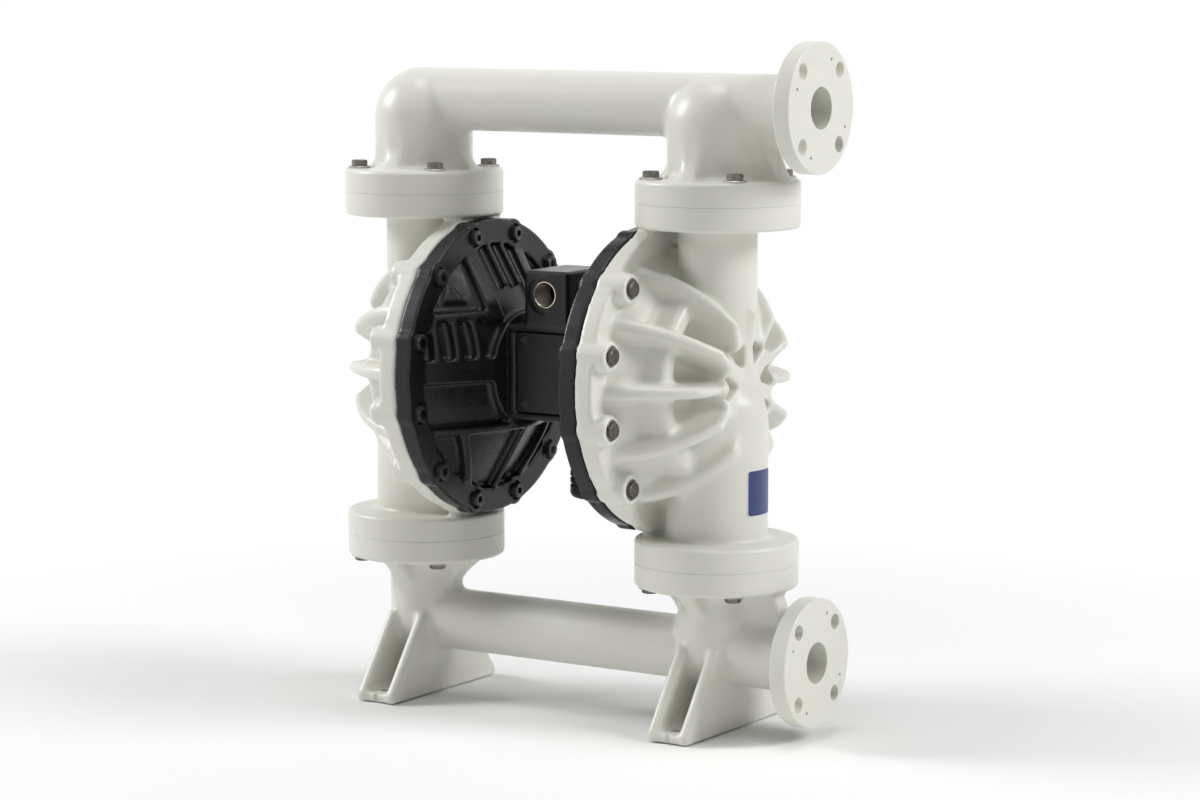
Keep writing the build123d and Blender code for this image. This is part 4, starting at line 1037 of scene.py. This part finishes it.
air = {
    "rimThick": 22.0,
    "hubX": 57.0,
    "hub": 70.0,
    "cone": 150.0,
    "ribHeight": 11.0,
    "wall": 8.0,
    "bands": (51.0, 22.0, 62.0),
    "crossbar": (69.0, 10.0),
    "spines": (14.0, 7.0, 100.0),
    "slant": (66.0, 121.0, 10.0, 105.0, 28.5),
    "passage": (-10.0, 19.0),
    "posts": ((83.0, 107.0, 131.0), 9.0),
    "triangle": (94.0, 94.0, 16.0, 2.5),
    "hubBore": 18.0,
    "nutBore": 12.5,
    "nutDepth": 4.0,
}


def bar(y0, y1, z0, z1):
    # across the pockets, given by its sides in the cover's plane
    low = (air["hubX"] - 4, y0, coverZ + z0)
    return block(low, (rimPlaneX - 8, y1, coverZ + z1))


def post(y, width, z0, z1):
    return bar(y - width / 2, y + width / 2, z0, z1)


def coneSkin(rise):
    # all that lies inside the cone raised by this much above the pockets' floor
    hubX, rimX = air["hubX"], rimPlaneX - air["rimThick"]
    drop = air["ribHeight"] - rise
    points = [(hubX + drop, 0), (hubX + drop, air["hub"]), (rimX + drop, air["cone"])]
    return turnedX([*points, (rimPlaneX, air["cone"]), (rimPlaneX, 0)])


def airBars():
    bandY, bandW, bandLow = air["bands"]
    barZ, barW = air["crossbar"]
    spineY, spineW, spineLow = air["spines"]
    slantY, slantZ, slantW, slantLength, slantAngle = air["slant"]
    low, high = air["passage"]
    postPlaces, postW = air["posts"]
    cone = air["cone"]
    bars = [bar(-cone, cone, -barZ - barW / 2, -barZ + barW / 2), post(0, spineW, -cone, -barZ)]
    for side in (-1, 1):
        ends = sorted((side * bandY, side * cone))
        bars.append(bar(*ends, barZ - barW / 2, barZ + barW / 2))
        bars.append(post(side * bandY, bandW, bandLow, cone))
        bars.append(post(side * spineY, spineW, spineLow, cone))
        ends = sorted((side * (air["hub"] - 8), side * cone))
        bars.append(bar(*ends, low, high))
        bars += [post(side * y, postW, high, barZ) for y in postPlaces]
        slant = post(0, slantW, -slantLength / 2, slantLength / 2)
        middle = Vector((0, side * slantY * mm, (coverZ - slantZ) * mm))
        turn = Matrix.Rotation(math.radians(-side * slantAngle), 4, "X")
        centre = Matrix.Translation(Vector((0, 0, -coverZ * mm)))
        slant.data.transform(Matrix.Translation(middle) @ turn @ centre)
        bars.append(slant)
    return bars


def airMarks():
    # the raised triangles
    y, z, size, rise = air["triangle"]
    for side in (-1, 1):
        corners = arc((side * y, coverZ + z), size, 90, 330, 2)
        mark = prism([(air["hubX"], a, b) for a, b in corners], (55, 0, 0))
        yield cut(mark, [coneSkin(rise)], "INTERSECT")


def airHollow(rimX):
    hubX, hub, bend = air["hubX"], air["hub"], clamp["bend"]
    chamberHub = hubX + air["ribHeight"]
    slope = (rimX - hubX) / (air["cone"] - hub)
    chamberRim = chamberHub + air["wall"] + slope * (bend - hub)
    floor, rim, end = rimPlaneX - 2, clamp["rim"], rimPlaneX + overrun
    profile = [(chamberHub, 0), (chamberHub, hub - air["wall"]), (chamberRim, bend)]
    hollow = [turnedX([*profile, (floor, bend), (floor, rim), (end, rim), (end, 0)])]
    hollow.append(rodX(hubX - overrun, hubX + 20, 0, coverZ, air["hubBore"]))
    for angle in (*fluid["bolts"], *fluid["screws"]):
        hollow.append(rimRod(angle, rimX - overrun, end, boltBore, 32))
        hollow.append(rimRod(angle, rimX - overrun, rimX + air["nutDepth"], air["nutBore"], 64))
    return hollow


def makeAirCovers():
    rimX = rimPlaneX - air["rimThick"]
    whole, *others = airBars()
    for other in others:
        fused(whole, [other])
    cut(whole, [coneSkin(air["ribHeight"])], "INTERSECT")
    marks = list(airMarks())
    hubX, hub, back = air["hubX"], air["hub"], rimPlaneX - 20
    extras = [coneSkin(0), turnedX([(hubX, 0), (hubX, hub), (back, hub), (back, 0)])]
    inner, outer = air["cone"], fluid["rim"]
    extras.append(turnedX([(rimX, inner), (rimX, outer), (rimPlaneX, outer), (rimPlaneX, inner)]))
    for angle in (*fluid["bolts"], *fluid["screws"]):
        extras.append(rimRod(angle, rimX, rimPlaneX, fluid["boss"]))
    body = moulded([whole, *marks, *extras], voxel=1.6, inner=1.8, outer=1.2, smooth=1)
    cut(body, airHollow(rimX))
    placePair(body, "AirCover", "black_casting")


# Centre housing with the air inlet block, and the air valve in its front

housing = {
    "plateX": (44.0, 56.0),
    "plateY": (-46.0, 60.0),
    "plateZ": (358.0, 470.0),
    "coreY": -18.0,
    "blockX": 31.0,
    "blockY": (-48.0, 44.0),
    "blockTop": 538.0,
    "portZ": 509.5,
    "port": 16.2,
    "portDepth": 34.0,
    "bossRadius": 34.0,
    "bossY": 77.0,
    "bossZ": (350.0, 430.0),
    "thread": 16.0,
    "edge": 2.4,
    "lips": ((357.0, 364.6), (463.4, 470.5)),
    "lipFront": -50.0,
    "portRing": 5.5,
    "portRingRise": 1.3,
    "rib": (12.0, 3.0),
    "shaftBore": 13.5,
    "sealBore": 15.5,
    "sealDepth": 23.0,
    "pinDrop": 40.0,
    "pinBore": 4.6,
    "pinFrom": 6.0,
    "bushBore": 8.0,
    "bushFrom": 32.0,
}
valve = {
    "x": 43.5,
    "y": (-46.0, -19.0),
    "z": (365.0, 463.0),
    "screwX": 33.0,
    "screwZ": 39.0,
    "screwHead": 5.5,
    "screwHeadHeight": 6.0,
    "screwBore": 3.6,
    "edge": 2.5,
    "boreY": -33.0,
    "bore": 8.0,
    "capBore": 11.0,
    "slideRoom": (25.0, 12.0),
    "slot": (18.0, 6.0),
}


def housingHollow(outer, front, bossLow):
    port, reach = housing["portZ"], outer + overrun
    pinZ = coverZ - housing["pinDrop"]
    hollow = [rod((0, front - 12, port), (0, front + housing["portDepth"], port), housing["port"])]
    hollow.append(rodX(-reach, reach, 0, coverZ, housing["shaftBore"]))
    for side in (-1, 1):
        end = side * reach
        sealFrom = side * (outer - housing["sealDepth"])
        hollow.append(rodX(sealFrom, end, 0, coverZ, housing["sealBore"]))
        hollow.append(rodX(side * housing["bushFrom"], end, 0, pinZ, housing["bushBore"], sides=48))
        hollow.append(rodX(side * housing["pinFrom"], end, 0, pinZ, housing["pinBore"], sides=32))
    hollow.append(rodZ(0, housing["bossY"], bossLow - overrun, bossLow + 14, housing["thread"]))
    # the side faces are trimmed flat
    hollow.append(block((-200, -200, 200), (-outer, 300, 800)))
    hollow.append(block((outer, -200, 200), (200, 300, 800)))
    return hollow


def makeCentreHousing():
    inner, outer = housing["plateX"]
    y0, y1 = housing["plateY"]
    z0, z1 = housing["plateZ"]
    core = housing["coreY"]
    solids = [block((-inner - 2, core, z0), (inner + 2, y1, z1))]
    for side in (-1, 1):
        xs = sorted((side * inner, side * outer))
        solids.append(block((xs[0], y0, z0), (xs[1], y1, z1)))
    front, back = housing["blockY"]
    x, top = housing["blockX"], housing["blockTop"]
    solids.append(block((-x, front, z1 - 6), (x, back, top)))
    boss, bossY = housing["bossRadius"], housing["bossY"]
    low, high = housing["bossZ"]
    solids.append(rodZ(0, bossY, low, high, boss))
    solids.append(block((-boss, y1 - boss, low), (boss, bossY, high)))
    port, ring = housing["portZ"], housing["port"] + housing["portRing"]
    solids.append(rod((0, front - housing["portRingRise"], port), (0, front + 20, port), ring))
    for lipLow, lipHigh in housing["lips"]:
        solids.append(block((-outer, housing["lipFront"], lipLow), (outer, y0 + 8, lipHigh)))
        solids.append(block((-outer, y0, lipLow), (outer, core + 4, lipHigh)))
    ribX, ribHalf = housing["rib"]
    for side in (-1, 1):
        ribLow = (side * ribX - ribHalf, front + 8, z1 - 4)
        solids.append(block(ribLow, (side * ribX + ribHalf, back + 6, top - 14)))
    body = moulded(solids, voxel=1.5, inner=2.0, outer=housing["edge"], smooth=1)
    cut(body, housingHollow(outer, front, low))
    place(body, "centreHousing", "black_casting")


def makeAirValve():
    x1, (y0, y1), (z0, z1) = valve["x"], valve["y"], valve["z"]
    middle, deep = (z0 + z1) / 2, valve["boreY"]
    front, back = y0 - overrun, y1 + overrun
    body = rounded(block((-x1, y0, z0), (x1, y1, z1)), valve["edge"], 4)
    holes = []
    for x in (-valve["screwX"], valve["screwX"]):
        for z in (middle - valve["screwZ"], middle + valve["screwZ"]):
            headEnd = (x, y0 + valve["screwHeadHeight"], z)
            holes.append(rod((x, front, z), headEnd, valve["screwHead"] + 0.6, sides=48))
            holes.append(rod((x, front, z), (x, back, z), valve["screwBore"], sides=32))
    holes.append(rodX(-60, 60, deep, middle, valve["bore"]))
    for side in (-1, 1):
        holes.append(rodX(side * (x1 - 4), side * 60, deep, middle, valve["capBore"]))
    for (halfX, halfZ), y in ((valve["slideRoom"], y1 - 3), (valve["slot"], deep)):
        holes.append(block((-halfX, y, middle - halfZ), (halfX, back, middle + halfZ)))
    cut(body, holes)
    place(body, "airValveBody", "black_casting")


muffler = {
    "y": housing["bossY"],
    "radius": 39.0,
    "low": 250.0,
    "height": 94.0,
    "neck": 15.9,
    "neckTop": 364.0,
    "edge": 7.0,
}
grooves = {"count": 8, "pitch": 8.5, "width": 3.0, "depth": 2.0}


def makeMuffler():
    low, r, bend = muffler["low"], muffler["radius"], muffler["edge"]
    top = low + muffler["height"]
    middle = (low + top) / 2
    half, floor = grooves["width"] / 2, r - grooves["depth"]
    profile = [(0, low), *arc((r - bend, low + bend), bend, -90, 0, 8)]
    for i in range(grooves["count"]):
        z = middle + (i - (grooves["count"] - 1) / 2) * grooves["pitch"]
        profile += [(r, z - half - 0.6), (r - 0.4, z - half), (floor, z - half + 0.4)]
        profile += [(floor, z + half - 0.4), (r - 0.4, z + half), (r, z + half + 0.6)]
    profile += arc((r - bend, top - bend), bend, 0, 90, 8)
    neckR, neckTop = muffler["neck"], muffler["neckTop"]
    profile += [(neckR + 3, top), (neckR, top + 1), (neckR, neckTop), (0, neckTop)]
    place(turnedZ(profile, 0, muffler["y"], 96), "muffler", "black_muffler")


# Air inlet bushing with its thread

bushing = {"outer": 16.15, "bore": 13.4, "front": -49.5, "length": 35.5, "pitch": 1.8, "threadDepth": 1.0}


def makeBushing():
    y, z = bushing["front"], housing["portZ"]
    bore, depth, outer = bushing["bore"], bushing["threadDepth"], bushing["outer"]
    end, pitch = y + bushing["length"], bushing["pitch"]
    root = bore + depth
    profile = [(y + 0.8, outer), (y + 0.2, outer - 0.35), (y, outer - 0.9), (y, root + 0.5)]
    profile.append((y + 1.2, root - 0.2))
    turn = y + 1.4
    while turn + pitch < end - 1:
        profile += [(turn + pitch * 0.45, bore), (turn + pitch * 0.55, bore), (turn + pitch * 0.98, root)]
        turn += pitch
    profile += [(end, bore + depth * 0.5), (end, outer)]
    body = turned([(r, a, z) for a, r in profile], (0, 0, z), (0, 1, 0), 96)
    # the faces inside the thread take the darker nickel: painted shade in the bore
    for look in ("brightNickel", "threadNickelPaintedShade"):
        body.data.materials.append(materials[look])
    for face in body.data.polygons:
        away = math.hypot(face.center.x, face.center.z - z * mm) / mm
        inside = away < root + 0.3 and face.center.y > (y + 1.2) * mm
        face.material_index = 1 if inside else 0
    place(body, "airInletBushing", "nickel_bushing")


# Bolts, nuts, screws and washers

jointBolt = {"flats": 17.0, "shank": 4.95, "washer": 13.5, "reach": 19.0}
jointBoltSets = {
    "outlet": {"seam": upperSeam, "side": 1, "head": 7.5, "washerThick": 2.5},
    "inlet": {"seam": lowerSeam, "side": -1, "head": 5.6, "washerThick": 1.6},
}
coverBolt = {"flats": 18.0, "head": 6.0, "flange": 12.3, "flangeThick": 2.5, "nut": 8.0}
capScrew = {"radius": 9.0, "height": 10.0, "socket": 8.0, "reach": 144.0}


def hexHead(flats, height, base=0.0):
    # a hexagon with its top corners turned off, standing on z = base
    head = rod((0, 0, base), (0, 0, base + height), flats / math.sqrt(3), sides=6)
    r = flats / 2
    top = base + height
    crown = [(0, base - 1), (r + 4, base - 1), (r + 4, top - 2.6), (r - 0.4, top), (0, top)]
    cut(head, [turnedZ(crown, 0, 0, 48)], "INTERSECT")
    return rounded(head, 0.35, 2, 25)


def onAxis(piece, start, way):
    # turns a piece that stands up from the origin to point along a way from a place
    turn = Vector(way).to_track_quat("Z", "Y").to_matrix().to_4x4()
    return copied(piece, Matrix.Translation(Vector(start) * mm) @ turn)


def spread(master, places, way):
    copies = [onAxis(master, start, way) for start in places]
    bpy.data.objects.remove(master)
    return joined(copies)


def makeJointBolts():
    outer = jointBolt["washer"]
    for name, spec in jointBoltSets.items():
        side, thick = spec["side"], spec["washerThick"]
        face = spec["seam"] + side * disc["thick"]
        head = hexHead(jointBolt["flats"], spec["head"], thick)
        shank = rodZ(0, 0, -disc["thick"] - jointBolt["reach"], thick + 1, jointBolt["shank"], sides=32)
        places = [(x, y, face) for x, y in jointBoltPlaces()]
        place(spread(joined([head, shank]), places, (0, 0, side)), name + "JointBolts", "dark_bolts")
        rim = [(outer, 0), (outer, thick - 0.5), (outer - 0.5, thick)]
        washer = turnedZ([(boltBore, 0), *rim, (boltBore, thick)], 0, 0, 64)
        place(spread(washer, places, (0, 0, side)), name + "JointWashers", "dark_washers")


def flangedHex(height):
    outer, thick = coverBolt["flange"], coverBolt["flangeThick"]
    profile = [(0, 0), (outer, 0), (outer, 1.3), (outer - 0.5, 1.7), (9.8, thick), (0, thick)]
    return [turnedZ(profile, 0, 0, 64), hexHead(coverBolt["flats"], height, thick - 0.2)]


def capScrewHead():
    r, height = capScrew["radius"], capScrew["height"]
    rim = arc((r - 1.2, height - 1.2), 1.2, 0, 90, 4)
    head = turnedZ([(0, 0), (r, 0), *rim, (0, height)], 0, 0, 64)
    socket = rodZ(0, 0, height / 2, height + 3, capScrew["socket"] / math.sqrt(3), sides=6)
    return cut(head, [socket])


def makeCoverBolts():
    boltSeat = rimPlaneX + fluid["boltSeat"]
    nutSeat = rimPlaneX - air["rimThick"] + air["nutDepth"]
    nutEnd = nutSeat - coverBolt["flangeThick"] - coverBolt["nut"]
    for name, side in hands.items():
        shank = rodZ(0, 0, nutEnd - boltSeat, 1, jointBolt["shank"], sides=32)
        parts = [*flangedHex(coverBolt["head"] + 0.2), shank]
        for part, steel in zip(parts, ("washerSteel", "darkSteel", "darkSteel")):
            dress(part, steel)
        places = [(side * boltSeat, *onRim(angle)) for angle in fluid["bolts"]]
        place(spread(joined(parts), places, (side, 0, 0)), name + "CoverBolts", "dark_bolts")
        nut = joined(flangedHex(coverBolt["nut"] + 0.2))
        places = [(side * nutSeat, *onRim(angle)) for angle in fluid["bolts"]]
        nuts = spread(nut, places, (-side, 0, 0))
        dress(nuts, "blackSteel")
        place(nuts, name + "CoverNuts", "dark_bolts")
        head = capScrewHead()
        shank = rodZ(0, 0, nutSeat - capScrew["reach"], 1, jointBolt["shank"], sides=32)
        places = [(side * nutSeat, *onRim(angle)) for angle in fluid["screws"]]
        screws = spread(joined([head, shank]), places, (-side, 0, 0))
        dress(screws, "blackSteel")
        place(screws, name + "CoverScrews", "dark_bolts")


# Rating plate: a bare film with rounded corners on the lower right column

ratingPlate = {"low": 261.5, "height": 53.0, "halfAngle": 22.0, "thick": 0.8, "corner": 4.0}
plateMargin = {"width": 1.3, "thick": 0.5}  # the pale edge round the blue


def bentFilm(grow, thick):
    # a film with rounded corners, bent round the column
    r = fluid["lowerColumn"]
    half = r * math.radians(ratingPlate["halfAngle"]) + grow
    z0, z1 = ratingPlate["low"] - grow, ratingPlate["low"] + ratingPlate["height"] + grow
    c = ratingPlate["corner"] + grow
    points = []
    corners = ((half - c, z1 - c), (c - half, z1 - c), (c - half, z0 + c), (half - c, z0 + c))
    for i, corner in enumerate(corners):
        points += arc(corner, c, 90 * i, 90 * i + 90, 6)
    film = prism([(r - 0.4, y, z) for y, z in points], (thick + 0.4, 0, 0))
    steps = 24
    for i in range(1, steps):
        pick(film)
        bpy.ops.object.mode_set(mode="EDIT")
        bpy.ops.mesh.select_all(action="SELECT")
        y = (2 * i / steps - 1) * half * mm
        bpy.ops.mesh.bisect(plane_co=(0, y, 0), plane_no=(0, 1, 0))
        bpy.ops.object.mode_set(mode="OBJECT")
    for vertex in film.data.vertices:
        x, y, z = vertex.co
        angle = y / (r * mm)
        vertex.co = (columnX * mm + x * math.cos(angle), x * math.sin(angle), z)
    return rounded(film, 0.15, 2, 50)


def makeRatingPlate():
    margin = bentFilm(plateMargin["width"], plateMargin["thick"])
    field = bentFilm(0, ratingPlate["thick"])
    for film, look in ((margin, "whiteAcetal"), (field, "blueFilm")):
        dress(film, look)
    place(joined([margin, field]), "ratingPlate", "blue_plate")


# Diaphragms: a web that curves between the covers' rims and the plates on the shaft

diaphragm = {"rim": 155.9, "hub": 76.0, "hole": 7.3, "hubX": 113.0, "rimX": 125.0, "thick": 4.0}


def makeDiaphragms():
    bend, hub = clamp["bend"], diaphragm["hub"]
    hubX, rimX, thick = diaphragm["hubX"], diaphragm["rimX"], diaphragm["thick"]
    steps = 16
    web = []
    for i in range(steps + 1):
        share = i / steps
        ease = 0.5 - 0.5 * math.cos(math.pi * share)
        web.append((hubX + (rimX - hubX) * ease, hub + (bend - hub) * share))
    near = [(hubX, diaphragm["hole"]), *web, (rimX, diaphragm["rim"])]
    far = [(x + thick, r) for x, r in reversed(near)]
    pair = placePair(turnedX([*near, *far]), "Diaphragm", "rubber_diaphragm", None)
    for name, piece in pair.items():
        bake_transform(piece)


makeInletManifold()
makeFluidCovers()
print("white mouldings made")
makeAirCovers()
makeCentreHousing()
makeAirValve()
makeMuffler()
print("black castings made")
makeBushing()
makeJointBolts()
makeCoverBolts()
makeRatingPlate()
makeDiaphragms()
print("fasteners, plate and diaphragms made")


# Camera, floor and light, in metres

view = {
    "place": (2.2896, -3.4693, 0.9015),
    "turn": 32.88,
    "down": 7.32,
    "lens": 103.918,
    "shiftY": 0.0072,
    "sensor": 36,
}


def addCamera():
    data = bpy.data.cameras.new("camera")
    camera = bpy.data.objects.new("camera", data)
    scene.collection.objects.link(camera)
    camera.location = view["place"]
    camera.rotation_euler = (math.radians(90 - view["down"]), 0, math.radians(view["turn"]))
    data.sensor_width = view["sensor"]
    data.lens = view["lens"]
    data.shift_y = view["shiftY"]
    scene.camera = camera


stage = {
    "floorSize": 60,
    "floorZ": -0.0005,
    "floor": 0.95,
    "worldLight": 0.2,
    "whiteFrom": 0.55,
    "whiteTo": 1.3,
    "lampTarget": (0, 0, 0.4),
}


def addFloor():
    bpy.ops.mesh.primitive_plane_add(size=stage["floorSize"], location=(0, 0, stage["floorZ"]))
    floor = bpy.context.object
    floor.name = "floor"
    material = bpy.data.materials.new("floorPaper")
    material.use_nodes = True
    tree = material.node_tree
    tree.nodes.clear()
    output = tree.nodes.new("ShaderNodeOutputMaterial")
    paper = tree.nodes.new("ShaderNodeBsdfDiffuse")
    paper.inputs["Color"].default_value = (*[stage["floor"]] * 3, 1)
    white = tree.nodes.new("ShaderNodeEmission")
    mix = tree.nodes.new("ShaderNodeMixShader")
    distance = tree.nodes.new("ShaderNodeVectorMath")
    distance.operation = "LENGTH"
    tree.links.new(tree.nodes.new("ShaderNodeTexCoord").outputs["Object"], distance.inputs[0])
    far = addRange(tree, distance.outputs["Value"], stage["whiteFrom"], stage["whiteTo"], 0.0, 1.0)
    seen = addSeen(tree)
    tree.links.new(addMath(tree, "MULTIPLY", far, seen), mix.inputs[0])
    tree.links.new(paper.outputs[0], mix.inputs[1])
    tree.links.new(white.outputs[0], mix.inputs[2])
    tree.links.new(mix.outputs[0], output.inputs["Surface"])
    floor.data.materials.append(material)


def addSeen(tree):
    # 1 for rays from the camera, or by reflection or through glass
    path = tree.nodes.new("ShaderNodeLightPath").outputs
    glossy = addMath(tree, "MAXIMUM", path["Is Camera Ray"], path["Is Glossy Ray"])
    return addMath(tree, "MAXIMUM", glossy, path["Is Transmission Ray"])


def addWorld():
    world = bpy.data.worlds.new("studio")
    scene.world = world
    world.use_nodes = True
    tree = world.node_tree
    background = tree.nodes["Background"]
    background.inputs["Color"].default_value = (1, 1, 1, 1)
    strength = addRange(tree, addSeen(tree), 0.0, 1.0, stage["worldLight"], 1.0)
    tree.links.new(strength, background.inputs["Strength"])


lamps = {
    "rightLamp": {"place": (4.2, 1.1, 3.2), "size": 2.0, "power": 140.0},
    "leftLamp": {"place": (-4.5, -1.7, 3.0), "size": 2.0, "power": 170.0},
    "topLamp": {"place": (0.2, -0.5, 6.0), "size": 2.6, "power": 95.0},
}


def addLamps():
    for name, lamp in lamps.items():
        data = bpy.data.lights.new(name, "AREA")
        data.shape = "SQUARE"
        data.size = lamp["size"]
        data.energy = lamp["power"]
        piece = bpy.data.objects.new(name, data)
        scene.collection.objects.link(piece)
        piece.location = lamp["place"]
        way = Vector(stage["lampTarget"]) - Vector(lamp["place"])
        piece.rotation_euler = way.to_track_quat("-Z", "Y").to_euler()


addCamera()
addFloor()
addWorld()
addLamps()
print("camera, floor and light added")
